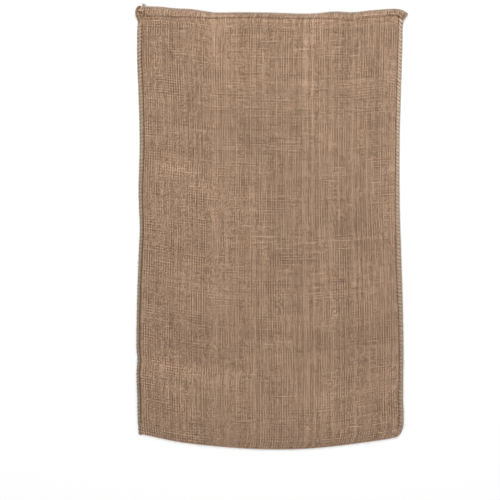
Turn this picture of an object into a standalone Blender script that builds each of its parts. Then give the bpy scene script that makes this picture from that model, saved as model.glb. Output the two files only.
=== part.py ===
"""An empty jute sack that lies flat on its back, with its mouth towards +Y.

One length of jute cloth is folded in half at the bottom, its sides are laid
together and overcast with yarn, and its mouth is rolled outwards into a hem.
So the sack is one piece of cloth and one solid: an outer skin all round, and
an inner skin that lines the hollow and meets the outer one at the mouth.
"""

import math
from collections import namedtuple

import bmesh
import bpy

# Driving dimensions, in metres. X runs across the sack, Y from the bottom
# fold to the mouth, Z up from the surface that the sack lies on.
WIDTH = 0.615           # between the outer edges of the two side seams
LENGTH = 1.030          # from the bottom fold to the mouth
CLOTH = 0.0012          # one layer of jute
LOFT = 0.0096           # space between the two layers in the middle
MOUTH_LOFT = 0.0078     # the same between the two lips of the mouth
LEAST_GAP = 0.0004      # the same along the stitches and the bottom fold
SIDE_REACH = 0.050      # how far in from the stitches the loft is full
FOLD_REACH = 0.060      # how far up from the bottom fold it is full
MOUTH_REACH = 0.090     # how far down from the mouth it turns into LOFT
HEM_FRONT = 0.0044      # rolled hem, puffed up on the face
HEM_BACK = 0.0030       # rolled hem under the sack's own weight
HEM_SLOPE = 0.0030      # over which the hem's edge rises to its thickness
HEM_LIFT_REACH = 0.055  # how far the back hem holds the back layer up
SEAM = 0.0032           # two layers pressed together by their yarn
SEAM_AT_HEM = 0.0078    # the same where both hems run into the seam
SEAM_LIFT_REACH = 0.020 # how far below the hem the seam is still lifted
LEFT_STRIP = 0.0085     # cloth outside the left stitches
RIGHT_STRIP = 0.0100    # cloth outside the right stitches
EDGE_ROUND = 0.0020     # reach of the rounding along every outer edge
EDGE_CORE = 0.40        # share of the thickness left at the very edge
FOLD_INSET = 0.0030     # from the bottom fold to the end of the hollow
TINY = 0.000001

# Steps of the grid. The first row or column beside an outer edge is at the
# rounding, and the other rows are at these distances.
STRIP_COLUMNS = 2
POCKET_COLUMNS = 26
CROWDING = 0.10         # how far the columns gather towards the two sides
AT_ROUNDING = EDGE_ROUND * 0.6
NEAR_FOLD = (0, AT_ROUNDING, FOLD_INSET, 0.009, 0.018)
LINING_ROW = 2          # the row of NEAR_FOLD that the hollow starts from
BODY_START = 0.034      # above the bottom fold
BODY_END = 0.022        # below the hem
BODY_ROWS = 36
BELOW_HEM = 0.009

JUTE_COLOUR = (0.337, 0.223, 0.153, 1.0)
JUTE_ROUGHNESS = 0.92

# The outline as it lies. Each edge has a row for each place where it bends.
EdgePoint = namedtuple("EdgePoint", "x y")

BOTTOM_EDGE = [
    EdgePoint(-0.3105, -0.4820),
    EdgePoint(-0.2830, -0.4876),
    EdgePoint(-0.2480, -0.4951),
    EdgePoint(-0.2130, -0.5018),
    EdgePoint(-0.1664, -0.5077),
    EdgePoint(-0.1080, -0.5131),
    EdgePoint(-0.0497, -0.5170),
    EdgePoint(0.0120, -0.5186),
    EdgePoint(0.0670, -0.5175),
    EdgePoint(0.1253, -0.5133),
    EdgePoint(0.1836, -0.5065),
    EdgePoint(0.2420, -0.4986),
    EdgePoint(0.2790, -0.4928),
    EdgePoint(0.2945, -0.4885),
]
RIGHT_EDGE = [
    EdgePoint(0.2945, -0.4885),
    EdgePoint(0.3035, -0.4780),
    EdgePoint(0.3085, -0.4560),
    EdgePoint(0.3073, -0.3945),
    EdgePoint(0.3082, -0.2825),
    EdgePoint(0.3061, -0.1705),
    EdgePoint(0.3026, -0.0538),
    EdgePoint(0.2991, 0.0629),
    EdgePoint(0.2994, 0.2215),
    EdgePoint(0.3026, 0.3336),
    EdgePoint(0.3057, 0.4362),
    EdgePoint(0.3068, 0.4782),
    EdgePoint(0.3100, 0.4888),
    EdgePoint(0.3160, 0.4960),
    EdgePoint(0.3192, 0.5010),
]
LEFT_EDGE = [
    EdgePoint(-0.3105, -0.4820),
    EdgePoint(-0.3134, -0.4505),
    EdgePoint(-0.3143, -0.3945),
    EdgePoint(-0.3162, -0.3385),
    EdgePoint(-0.3138, -0.3058),
    EdgePoint(-0.3162, -0.2825),
    EdgePoint(-0.3148, -0.1705),
    EdgePoint(-0.3108, -0.0585),
    EdgePoint(-0.3085, -0.0025),
    EdgePoint(-0.3113, 0.0862),
    EdgePoint(-0.3087, 0.1935),
    EdgePoint(-0.3110, 0.3055),
    EdgePoint(-0.3145, 0.3896),
    EdgePoint(-0.3145, 0.4596),
    EdgePoint(-0.3138, 0.4829),
    EdgePoint(-0.3182, 0.4950),
    EdgePoint(-0.3192, 0.5086),
    EdgePoint(-0.3143, 0.5180),
]
MOUTH_EDGE = [
    EdgePoint(-0.3143, 0.5180),
    EdgePoint(-0.3085, 0.5186),
    EdgePoint(-0.2924, 0.5170),
    EdgePoint(-0.2597, 0.5155),
    EdgePoint(-0.2247, 0.5118),
    EdgePoint(-0.1897, 0.5100),
    EdgePoint(-0.1594, 0.5058),
    EdgePoint(-0.1314, 0.5021),
    EdgePoint(-0.0730, 0.5025),
    EdgePoint(-0.0030, 0.5018),
    EdgePoint(0.0786, 0.4993),
    EdgePoint(0.1136, 0.5009),
    EdgePoint(0.1463, 0.5044),
    EdgePoint(0.1883, 0.5025),
    EdgePoint(0.2303, 0.5069),
    EdgePoint(0.2816, 0.5107),
    EdgePoint(0.3003, 0.5100),
    EdgePoint(0.3120, 0.5055),
    EdgePoint(0.3192, 0.5010),
]

# How wide the rolled hem is along the mouth: wide at both sides, and rolled
# tighter in the middle.
HemWidth = namedtuple("HemWidth", "x width")

HEM_WIDTHS = [
    HemWidth(-0.314, 0.0210),
    HemWidth(-0.285, 0.0230),
    HemWidth(-0.180, 0.0180),
    HemWidth(-0.148, 0.0155),
    HemWidth(-0.110, 0.0135),
    HemWidth(0.070, 0.0120),
    HemWidth(0.105, 0.0130),
    HemWidth(0.139, 0.0182),
    HemWidth(0.184, 0.0195),
    HemWidth(0.219, 0.0185),
    HemWidth(0.254, 0.0186),
    HemWidth(0.280, 0.0164),
    HemWidth(0.315, 0.0140),
]

# Soft folds of the upper layer. Each is a long swell about (x, y), turned
# this many degrees from +X. Its reach and half width are where it has sunk
# to about a third, and a height below zero is a trough.
Fold = namedtuple("Fold", "x y turn reach half_width height")

FOLDS = [
    # down from the mouth, where its edge dips
    Fold(-0.130, 0.465, 90, 0.060, 0.030, 0.0020),
    Fold(0.096, 0.460, 84, 0.065, 0.028, 0.0022),
    Fold(-0.225, 0.470, 90, 0.045, 0.026, -0.0010),
    Fold(0.190, 0.455, 98, 0.050, 0.022, -0.0012),
    # upper left
    Fold(-0.238, 0.400, 84, 0.045, 0.020, -0.0013),
    Fold(-0.268, 0.345, 90, 0.080, 0.018, 0.0012),
    Fold(-0.190, 0.305, 90, 0.055, 0.020, -0.0014),
    Fold(-0.232, 0.155, 75, 0.040, 0.026, 0.0014),
    # upper middle
    Fold(0.086, 0.322, 95, 0.075, 0.024, 0.0018),
    Fold(-0.042, 0.230, 98, 0.065, 0.020, -0.0013),
    Fold(0.020, 0.055, 90, 0.110, 0.022, -0.0014),
    # upper right: a trough beside the ridge that the seam holds up
    Fold(0.244, 0.280, 90, 0.150, 0.018, -0.0016),
    Fold(0.280, 0.240, 90, 0.200, 0.014, 0.0014),
    # middle
    Fold(0.188, 0.008, 20, 0.050, 0.038, -0.0015),
    Fold(0.125, -0.130, 90, 0.090, 0.024, 0.0014),
    Fold(-0.120, -0.045, 90, 0.050, 0.022, 0.0012),
    Fold(-0.200, -0.140, 80, 0.060, 0.028, 0.0010),
    # lower left: a long slanting ridge with a trough above it
    Fold(-0.195, -0.292, -9, 0.100, 0.018, -0.0016),
    Fold(-0.185, -0.338, -12, 0.120, 0.020, 0.0026),
    Fold(-0.278, -0.388, 110, 0.040, 0.018, -0.0014),
    # lower middle
    Fold(0.088, -0.275, 60, 0.036, 0.022, -0.0014),
    Fold(0.034, -0.408, -43, 0.070, 0.020, -0.0016),
    Fold(0.110, -0.415, 90, 0.040, 0.024, 0.0014),
    Fold(-0.150, -0.462, 5, 0.060, 0.022, -0.0012),
    # lower right
    Fold(0.210, -0.260, 30, 0.060, 0.022, -0.0012),
    Fold(0.243, -0.415, 90, 0.055, 0.020, -0.0014),
    Fold(0.282, -0.330, 90, 0.090, 0.014, 0.0012),
]

# Where the hem is bunched up in a corner.
Bunch = namedtuple("Bunch", "x y radius height")

BUNCHES = [
    Bunch(-0.3060, 0.5070, 0.0120, 0.0030),
    Bunch(0.3060, 0.4990, 0.0090, 0.0016),
]


def curve_through(points, key, value):
    """A smooth function of one column of a table, through all its rows."""
    keys = [getattr(point, key) for point in points]
    values = [getattr(point, value) for point in points]
    steps = [(b - a) for a, b in zip(keys, keys[1:])]
    rises = [(b - a) for a, b in zip(values, values[1:])]
    inner = [
        (rises[n] + rises[n + 1]) / (steps[n] + steps[n + 1])
        for n in range(len(steps) - 1)
    ]
    slopes = [rises[0] / steps[0]] + inner + [rises[-1] / steps[-1]]

    def at(place):
        place = min(max(place, keys[0]), keys[-1])
        n = 0
        while n < len(steps) - 1 and place > keys[n + 1]:
            n += 1
        step = steps[n]
        u = (place - keys[n]) / step
        start = (1 + 2 * u) * (1 - u) ** 2 * values[n]
        start += u * (1 - u) ** 2 * step * slopes[n]
        end = u * u * (3 - 2 * u) * values[n + 1]
        end += u * u * (u - 1) * step * slopes[n + 1]
        return start + end

    return at


def along_edge(points, key):
    """Point of an edge at a share, from 0 to 1, of its run along one axis."""
    other = "y" if key == "x" else "x"
    across = curve_through(points, key, other)
    first = getattr(points[0], key)
    last = getattr(points[-1], key)

    def at(share):
        place = first + share * (last - first)
        return (place, across(place)) if key == "x" else (across(place), place)

    return at


bottom_edge = along_edge(BOTTOM_EDGE, "x")
mouth_edge = along_edge(MOUTH_EDGE, "x")
left_edge = along_edge(LEFT_EDGE, "y")
right_edge = along_edge(RIGHT_EDGE, "y")
hem_width = curve_through(HEM_WIDTHS, "x", "width")


def on_plan(across, up):
    """Plan position of a share across the sack and a share up its length.

    The four edges are blended, so that a grid line near an edge runs
    alongside it and one in the middle is nearly straight.
    """
    place = []
    for axis in (0, 1):
        low, high = bottom_edge(across)[axis], mouth_edge(across)[axis]
        left, right = left_edge(up)[axis], right_edge(up)[axis]
        corners = (1 - across) * (1 - up) * bottom_edge(0)[axis]
        corners += across * (1 - up) * bottom_edge(1)[axis]
        corners += (1 - across) * up * mouth_edge(0)[axis]
        corners += across * up * mouth_edge(1)[axis]
        between_ends = (1 - up) * low + up * high
        between_sides = (1 - across) * left + across * right
        place.append(between_ends + between_sides - corners)
    return place


def rise(distance, reach):
    """Soft climb from 0 at no distance to 1 at the reach and beyond."""
    left_over = 1 - min(max(distance / reach, 0), 1)
    return 1 - left_over ** 2


def ease(distance, reach):
    """S-shaped climb from 0 at no distance to 1 at the reach and beyond."""
    u = min(max(distance / reach, 0), 1)
    return u * u * (3 - 2 * u)


def edge_share(distance):
    """Share of the full thickness at a distance in from a rounded edge."""
    left_over = 1 - min(max(distance / EDGE_ROUND, 0), 1)
    return max(EDGE_CORE, math.sqrt(1 - left_over ** 2))


def fold_height(x, y):
    """Height that the soft folds add to the upper layer."""
    total = 0
    for fold in FOLDS:
        turn = math.radians(fold.turn)
        dx, dy = x - fold.x, y - fold.y
        length_off = (dx * math.cos(turn) + dy * math.sin(turn)) / fold.reach
        width_off = (dy * math.cos(turn) - dx * math.sin(turn)) / fold.half_width
        total += fold.height * math.exp(-length_off ** 2 - width_off ** 2)
    return total


def bunch_height(x, y):
    """Height that the bunched corners of the hem add on top."""
    total = 0
    for bunch in BUNCHES:
        off = math.hypot(x - bunch.x, y - bunch.y) / bunch.radius
        total += bunch.height * math.exp(-off ** 2)
    return total


class Spot:
    """One grid point of the sack, with its place on the cloth."""

    def __init__(self, across, up):
        self.x, self.y = on_plan(across, up)
        self.from_left = across * WIDTH
        self.from_right = (1 - across) * WIDTH
        self.from_fold = up * LENGTH
        self.from_mouth = (1 - up) * LENGTH
        self.hem = hem_width(self.x)
        self.in_pocket = min(self.from_left - LEFT_STRIP, self.from_right - RIGHT_STRIP)

    def hem_share(self):
        """1 on the hem and 0 below it, with a short slope between."""
        return 1 - ease(self.from_mouth - self.hem + HEM_SLOPE / 2, HEM_SLOPE)

    def lip_share(self):
        """Share of the hem's thickness that is left towards the rim."""
        return edge_share(self.from_mouth)

    def back_under(self):
        """Underside of the back layer, which the back hem holds up."""
        held_up = 1 - ease(self.from_mouth - self.hem, HEM_LIFT_REACH)
        return (HEM_BACK - CLOTH) * held_up * (1 - self.hem_share())

    def back_inside(self):
        """Upper face of the back layer, inside the sack."""
        held_up = 1 - ease(self.from_mouth - self.hem, HEM_LIFT_REACH)
        return CLOTH + (HEM_BACK - CLOTH) * held_up

    def front_inside(self):
        """Lower face of the front layer, inside the sack."""
        sides = rise(self.in_pocket, SIDE_REACH)
        ends = rise(self.from_fold - FOLD_INSET, FOLD_REACH)
        towards_mouth = 1 - ease(self.from_mouth, MOUTH_REACH)
        loft = LOFT + (MOUTH_LOFT - LOFT) * towards_mouth
        folds = fold_height(self.x, self.y) * sides * ends
        return self.back_inside() + LEAST_GAP + loft * sides * ends + folds

    def front_over(self):
        """Upper face of the front layer, hem and bunched corners included."""
        hem = (HEM_FRONT - CLOTH) * self.hem_share()
        return self.front_inside() + CLOTH + hem + bunch_height(self.x, self.y)

    def strip_over(self):
        """Upper face of the pressed strip outside the stitches."""
        below_hem = ease(self.from_mouth - self.hem, SEAM_LIFT_REACH)
        lifted = 1 - below_hem * (1 - self.hem_share())
        strip = SEAM + (SEAM_AT_HEM - SEAM) * lifted
        return strip + bunch_height(self.x, self.y)

    def outer_skin(self):
        """Points of the outer skin: (under, over)."""
        in_strip = self.in_pocket < -TINY
        under, over = self.back_under(), self.front_over()
        if in_strip:
            under, over = 0.0, self.strip_over()
        else:
            lost = (1 - self.lip_share()) / 2
            under += HEM_BACK * lost
            over -= HEM_FRONT * lost
        edge = min(self.from_left, self.from_right, self.from_fold)
        middle = (under + over) / 2
        half = (over - under) / 2 * edge_share(edge)
        return (self.x, self.y, middle - half), (self.x, self.y, middle + half)

    def inner_skin(self):
        """Points of the skin that lines the hollow: (under, over)."""
        lost = (1 - self.lip_share()) / 2
        under = self.back_inside() - HEM_BACK * lost
        over = self.front_inside() + HEM_FRONT * lost
        # Beside the stitches it keeps half a cloth's thickness of wall.
        inward = CLOTH / 2 * (1 - rise(self.in_pocket, SIDE_REACH))
        x = self.x + math.copysign(inward, self.from_right - self.from_left)
        return (x, self.y, under), (x, self.y, over)


def column_shares():
    """Shares across the sack: the strips' edges, then the pocket between."""
    left = LEFT_STRIP / WIDTH
    right = 1 - RIGHT_STRIP / WIDTH
    rounding = AT_ROUNDING / WIDTH
    pocket = [left + (right - left) * n / POCKET_COLUMNS for n in range(POCKET_COLUMNS + 1)]
    # The loft climbs fastest beside the stitches, so columns gather there.
    centre, half = (left + right) / 2, (right - left) / 2
    pocket = [centre + half * crowd((share - centre) / half) for share in pocket]
    return [0, rounding] + pocket + [1 - rounding, 1]


def crowd(share):
    """Move a share from -1 to 1 a little towards the nearer end."""
    return share + CROWDING * math.sin(math.pi * share)


def row_shares(hem):
    """Shares up the sack for a column whose hem is this wide."""
    body_top = LENGTH - hem - BODY_END
    body_step = (body_top - BODY_START) / BODY_ROWS
    body = [BODY_START + body_step * n for n in range(BODY_ROWS + 1)]
    lip = [BELOW_HEM, HEM_SLOPE / 2, -HEM_SLOPE / 2, -hem / 2, AT_ROUNDING - hem, -hem]
    at_hem = [LENGTH - hem - below for below in lip]
    return [row / LENGTH for row in [*NEAR_FOLD, *body, *at_hem]]


def grid_of_spots():
    """Every spot of the cloth, as a list of columns from left to right."""
    spots = []
    for across in column_shares():
        hem = hem_width(mouth_edge(across)[0])
        spots.append([Spot(across, up) for up in row_shares(hem)])
    return spots


def two_skins(mesh, columns, strips, skin_of):
    """A closed pair of skins over some columns of spots, with a wall round it.

    Returns the faces of the wall that stand at the mouth between the strips,
    which are this many columns wide at each side.
    """
    across, up = len(columns) - 1, len(columns[0]) - 1
    grid = bmesh.ops.create_grid(mesh, x_segments=across, y_segments=up, size=0.5)
    under = grid["verts"]
    sheet = list({face for vert in under for face in vert.link_faces})
    raised = bmesh.ops.extrude_face_region(mesh, geom=sheet)["geom"]
    over = [item for item in raised if isinstance(item, bmesh.types.BMVert)]
    wall = []
    for face in {face for vert in under for face in vert.link_faces}:
        centre = face.calc_center_median()
        if centre.y > 0.5 - TINY and abs(centre.x) < 0.5 - strips / across:
            wall.append(face)
    for level, verts in enumerate((under, over)):
        for vert in verts:
            column = round((vert.co.x + 0.5) * across)
            row = round((vert.co.y + 0.5) * up)
            vert.co = skin_of(columns[column][row])[level]
    return wall


def jute_material():
    """Plain matt jute."""
    material = bpy.data.materials.new("jute")
    material.use_nodes = True
    shader = material.node_tree.nodes["Principled BSDF"]
    shader.inputs["Base Color"].default_value = JUTE_COLOUR
    shader.inputs["Roughness"].default_value = JUTE_ROUGHNESS
    shader.inputs["Metallic"].default_value = 0.0
    return material


def build_sack():
    """The sack's cloth as one closed, hollow solid."""
    spots = grid_of_spots()
    pocket = [column[LINING_ROW:] for column in spots[STRIP_COLUMNS:-STRIP_COLUMNS]]
    mesh = bmesh.new()
    outer_wall = two_skins(mesh, spots, STRIP_COLUMNS, Spot.outer_skin)
    inner_wall = two_skins(mesh, pocket, 0, Spot.inner_skin)
    bmesh.ops.delete(mesh, geom=outer_wall + inner_wall, context="FACES")
    lips = [edge for edge in mesh.edges if edge.is_boundary]
    bmesh.ops.bridge_loops(mesh, edges=lips)
    bmesh.ops.recalc_face_normals(mesh, faces=mesh.faces[:])

    data = bpy.data.meshes.new("sack_cloth")
    mesh.to_mesh(data)
    mesh.free()
    data.materials.append(jute_material())
    data.shade_smooth()
    data.set_sharp_from_angle(angle=math.radians(50))
    sack = bpy.data.objects.new("sack_cloth", data)
    bpy.context.scene.collection.objects.link(sack)
    return sack


for old in list(bpy.data.objects):
    bpy.data.objects.remove(old, do_unlink=True)
build_sack()
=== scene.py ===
"""Looks of an empty jute sack that lies flat on its back, mouth towards +Y.

The cloth is remade with a fine grid on the outline, folds and hem of its solid.
The yarn of the two overcast sides, the thread of the hem, the tied corner, the
slubs and bark of the threads and their loose fibres are pieces on top of it.
"""

import math
from collections import namedtuple
from functools import partialmethod

import bmesh
import bpy
import numpy as np
from bpy.props import FloatProperty, FloatVectorProperty, IntProperty, PointerProperty
from bpy.types import Operator, Panel, PropertyGroup
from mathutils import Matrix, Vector


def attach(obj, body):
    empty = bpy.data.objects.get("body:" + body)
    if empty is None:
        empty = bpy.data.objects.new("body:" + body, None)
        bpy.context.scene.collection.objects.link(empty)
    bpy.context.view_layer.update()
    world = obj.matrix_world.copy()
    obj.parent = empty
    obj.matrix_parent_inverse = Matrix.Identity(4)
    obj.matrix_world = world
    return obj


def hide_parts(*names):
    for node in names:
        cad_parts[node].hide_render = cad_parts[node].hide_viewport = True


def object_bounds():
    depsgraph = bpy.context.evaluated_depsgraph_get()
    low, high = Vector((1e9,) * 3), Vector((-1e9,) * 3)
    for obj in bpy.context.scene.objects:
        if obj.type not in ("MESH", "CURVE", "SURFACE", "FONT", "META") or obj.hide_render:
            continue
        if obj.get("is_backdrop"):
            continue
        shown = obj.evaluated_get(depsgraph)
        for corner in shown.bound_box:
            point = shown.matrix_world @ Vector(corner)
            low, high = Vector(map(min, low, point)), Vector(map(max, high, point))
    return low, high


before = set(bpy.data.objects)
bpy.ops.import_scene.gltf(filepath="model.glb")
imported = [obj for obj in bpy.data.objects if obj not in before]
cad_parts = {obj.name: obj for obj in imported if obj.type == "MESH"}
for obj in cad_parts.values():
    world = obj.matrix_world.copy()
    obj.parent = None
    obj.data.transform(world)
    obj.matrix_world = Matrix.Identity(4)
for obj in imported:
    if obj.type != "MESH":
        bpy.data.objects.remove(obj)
CAD_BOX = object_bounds()

bl_info = {
    "name": "Jute sack",
    "version": (1, 0, 0),
    "blender": (4, 5, 0),
    "location": "View3D > Sidebar > Jute sack",
    "description": "Weaves, sews and lights an empty jute sack on its packed model",
    "category": "Object",
}

BODY = "root"
CLOTH_NODE = "sack_cloth"


def table(row, *values):
    """Rows of values under the names of their columns."""
    return [row(*each) for each in values]


# --- Sizes that the sack's solid has too, in metres ---
WIDTH = 0.615           # between the outer edges of the two side seams
LENGTH = 1.030          # from the bottom fold to the mouth
CLOTH = 0.0012          # one layer of jute
LOFT = 0.0096           # space between the two layers in the middle
MOUTH_LOFT = 0.0078     # the same between the two lips of the mouth
LEAST_GAP = 0.0004      # the same along the stitches and the bottom fold
SIDE_REACH = 0.050      # how far in from the stitches the loft is full
FOLD_REACH = 0.060      # how far up from the bottom fold it is full
MOUTH_REACH = 0.090     # how far down from the mouth it turns into LOFT
HEM_FRONT = 0.0044      # rolled hem, puffed up on the face
HEM_BACK = 0.0030       # rolled hem under the sack's own weight
HEM_LIFT_REACH = 0.055  # how far the back hem holds the back layer up
SEAM = 0.0032           # two layers pressed together by their yarn
SEAM_AT_HEM = 0.0078    # the same where both hems run into the seam
SEAM_LIFT_REACH = 0.020  # how far below the hem the seam is still thicker
LEFT_STRIP = 0.0085     # cloth outside the left stitches
RIGHT_STRIP = 0.0100    # cloth outside the right stitches
FOLD_INSET = 0.0030     # from the bottom fold to the end of the hollow

EdgePoint = namedtuple("EdgePoint", "x y")

BOTTOM_EDGE = table(
    EdgePoint,
    (-0.3105, -0.482), (-0.283, -0.4876), (-0.248, -0.4951), (-0.213, -0.5018), (-0.1664, -0.5077),
    (-0.108, -0.5131), (-0.0497, -0.517), (0.012, -0.5186), (0.067, -0.5175), (0.1253, -0.5133),
    (0.1836, -0.5065), (0.242, -0.4986), (0.279, -0.4928), (0.2945, -0.4885),
)
RIGHT_EDGE = table(
    EdgePoint,
    (0.2945, -0.4885), (0.3035, -0.478), (0.3085, -0.456), (0.3073, -0.3945), (0.3082, -0.2825),
    (0.3061, -0.1705), (0.3026, -0.0538), (0.2991, 0.0629), (0.2994, 0.2215), (0.3026, 0.3336),
    (0.3057, 0.4362), (0.3068, 0.4782), (0.31, 0.4888), (0.316, 0.496), (0.3192, 0.501),
)
LEFT_EDGE = table(
    EdgePoint,
    (-0.3105, -0.482), (-0.3134, -0.4505), (-0.3143, -0.3945), (-0.3162, -0.3385),
    (-0.3138, -0.3058), (-0.3162, -0.2825), (-0.3148, -0.1705), (-0.3108, -0.0585),
    (-0.3085, -0.0025), (-0.3113, 0.0862), (-0.3087, 0.1935), (-0.311, 0.3055), (-0.3145, 0.3896),
    (-0.3145, 0.4596), (-0.3138, 0.4829), (-0.3182, 0.495), (-0.3192, 0.5086), (-0.3143, 0.518),
)
MOUTH_EDGE = table(
    EdgePoint,
    (-0.3143, 0.518), (-0.3085, 0.5186), (-0.2924, 0.517), (-0.2597, 0.5155), (-0.2247, 0.5118),
    (-0.1897, 0.51), (-0.1594, 0.5058), (-0.1314, 0.5021), (-0.073, 0.5025), (-0.003, 0.5018),
    (0.0786, 0.4993), (0.1136, 0.5009), (0.1463, 0.5044), (0.1883, 0.5025), (0.2303, 0.5069),
    (0.2816, 0.5107), (0.3003, 0.51), (0.312, 0.5055), (0.3192, 0.501),
)

# How wide the rolled hem is along the mouth.
HemWidth = namedtuple("HemWidth", "x width")

HEM_WIDTHS = table(
    HemWidth,
    (-0.314, 0.021), (-0.285, 0.023), (-0.18, 0.018), (-0.148, 0.0155), (-0.11, 0.0135),
    (0.07, 0.012), (0.105, 0.013), (0.139, 0.0182), (0.184, 0.0195), (0.219, 0.0185),
    (0.254, 0.0186), (0.28, 0.0164), (0.315, 0.014),
)

# A long, soft swell about (x, y), turned this many degrees from +X.
Swell = namedtuple("Swell", "x y turn reach half_width amount")

# Soft folds of the upper layer, as heights. A height below zero is a trough.
FOLDS = table(
    Swell,
    # down from the mouth, where its edge dips
    (-0.13, 0.465, 90, 0.06, 0.03, 0.002), (0.096, 0.46, 84, 0.065, 0.028, 0.0022),
    (-0.225, 0.47, 90, 0.045, 0.026, -0.001), (0.19, 0.455, 98, 0.05, 0.022, -0.0012),
    # upper left
    (-0.238, 0.4, 84, 0.045, 0.02, -0.0013), (-0.268, 0.345, 90, 0.08, 0.018, 0.0012),
    (-0.19, 0.305, 90, 0.055, 0.02, -0.0014), (-0.232, 0.155, 75, 0.04, 0.026, 0.0014),
    # upper middle
    (0.086, 0.322, 95, 0.075, 0.024, 0.0018), (-0.042, 0.23, 98, 0.065, 0.02, -0.0013),
    (0.02, 0.055, 90, 0.11, 0.022, -0.0014),
    # upper right: a trough beside the ridge that the seam holds up
    (0.244, 0.28, 90, 0.15, 0.018, -0.0016), (0.28, 0.24, 90, 0.2, 0.014, 0.0014),
    # middle
    (0.188, 0.008, 20, 0.05, 0.038, -0.0015), (0.125, -0.13, 90, 0.09, 0.024, 0.0014),
    (-0.12, -0.045, 90, 0.05, 0.022, 0.0012), (-0.2, -0.14, 80, 0.06, 0.028, 0.001),
    # lower left: a long slanting ridge with a trough above it
    (-0.195, -0.292, -9, 0.1, 0.018, -0.0016), (-0.185, -0.338, -12, 0.12, 0.02, 0.0026),
    (-0.278, -0.388, 110, 0.04, 0.018, -0.0014),
    # lower middle
    (0.088, -0.275, 60, 0.036, 0.022, -0.0014), (0.034, -0.408, -43, 0.07, 0.02, -0.0016),
    (0.11, -0.415, 90, 0.04, 0.024, 0.0014), (-0.15, -0.462, 5, 0.06, 0.022, -0.0012),
    # lower right
    (0.21, -0.26, 30, 0.06, 0.022, -0.0012), (0.243, -0.415, 90, 0.055, 0.02, -0.0014),
    (0.282, -0.33, 90, 0.09, 0.014, 0.0012),
)

# Where the hem is bunched up in a corner of the mouth.
Bunch = namedtuple("Bunch", "x y radius height")

BUNCHES = table(
    Bunch,
    (-0.306, 0.507, 0.012, 0.003), (0.306, 0.499, 0.009, 0.0016),
)

# --- What the finer cloth has besides ---
# Sharp little creases of the face, from one end to the other, with painted shade
# along them.
Crease = namedtuple("Crease", "x y end_x end_y half_width height")

CREASES = table(
    Crease,
    # beside the tied corner, running out into the row of stitches
    (-0.2966, 0.5046, -0.2986, 0.4965, 0.0024, -0.002),
    (-0.2986, 0.4965, -0.303, 0.489, 0.0018, -0.0014),
    (-0.306, 0.499, -0.304, 0.49, 0.0012, -0.0007),
    # nicks where the hem's thread starts
    (-0.2885, 0.4943, -0.286, 0.494, 0.0014, -0.0007),
    (-0.2812, 0.4968, -0.279, 0.4958, 0.0014, -0.001),
    # across the pointed ear
    (0.2909, 0.4974, 0.2962, 0.4932, 0.0018, -0.0018),
    (0.2962, 0.4932, 0.2996, 0.4884, 0.002, -0.0022),
    (0.2996, 0.4884, 0.3046, 0.4876, 0.0016, -0.0012), (0.301, 0.5, 0.311, 0.49, 0.0022, -0.0008),
)

# Up each side: how far in from the edge the needle went, how far the yarn is
# greyed, more towards the bottom, and how dark the row of holes is painted.
Needle = namedtuple("Needle", "y inset dust dark")

LEFT_NEEDLE = table(
    Needle,
    (-0.43, 0.007, 1.0, 0.35), (-0.29, 0.0066, 1.0, 1.0), (-0.16, 0.007, 0.75, 0.7),
    (-0.03, 0.0077, 0.62, 0.9), (0.1, 0.0094, 0.36, 1.0), (0.24, 0.0106, 0.24, 0.9),
    (0.43, 0.011, 0.05, 1.1),
)
RIGHT_NEEDLE = table(
    Needle,
    (-0.43, 0.0112, 0.92, 0.9), (-0.35, 0.0096, 0.84, 1.2), (-0.22, 0.0105, 0.72, 1.2),
    (-0.16, 0.0125, 0.62, 1.0), (-0.1, 0.013, 0.54, 0.8), (-0.03, 0.0118, 0.52, 0.8),
    (0.1, 0.0102, 0.32, 1.0), (0.17, 0.0088, 0.14, 0.6), (0.3, 0.01, 0.04, 0.15),
    (0.43, 0.0104, 0.0, 0.6),
)

# How deep the hem's thread is drawn in along the mouth, and how dark the painted
# shade in its groove is.
Draw = namedtuple("Draw", "x share")

HEM_DRAWS = table(
    Draw,
    (-0.3, 0.1), (-0.284, 0.75), (-0.225, 0.85), (-0.176, 0.9), (-0.167, 0.15), (-0.15, 0.15),
    (-0.142, 0.5), (-0.12, 0.45), (-0.09, 0.14), (-0.02, 0.1), (0.07, 0.2), (0.095, 0.55),
    (0.14, 0.5), (0.154, 0.35), (0.165, 0.95), (0.21, 0.9), (0.219, 0.5), (0.25, 0.65),
    (0.284, 0.9), (0.292, 0.2),
)
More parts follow.
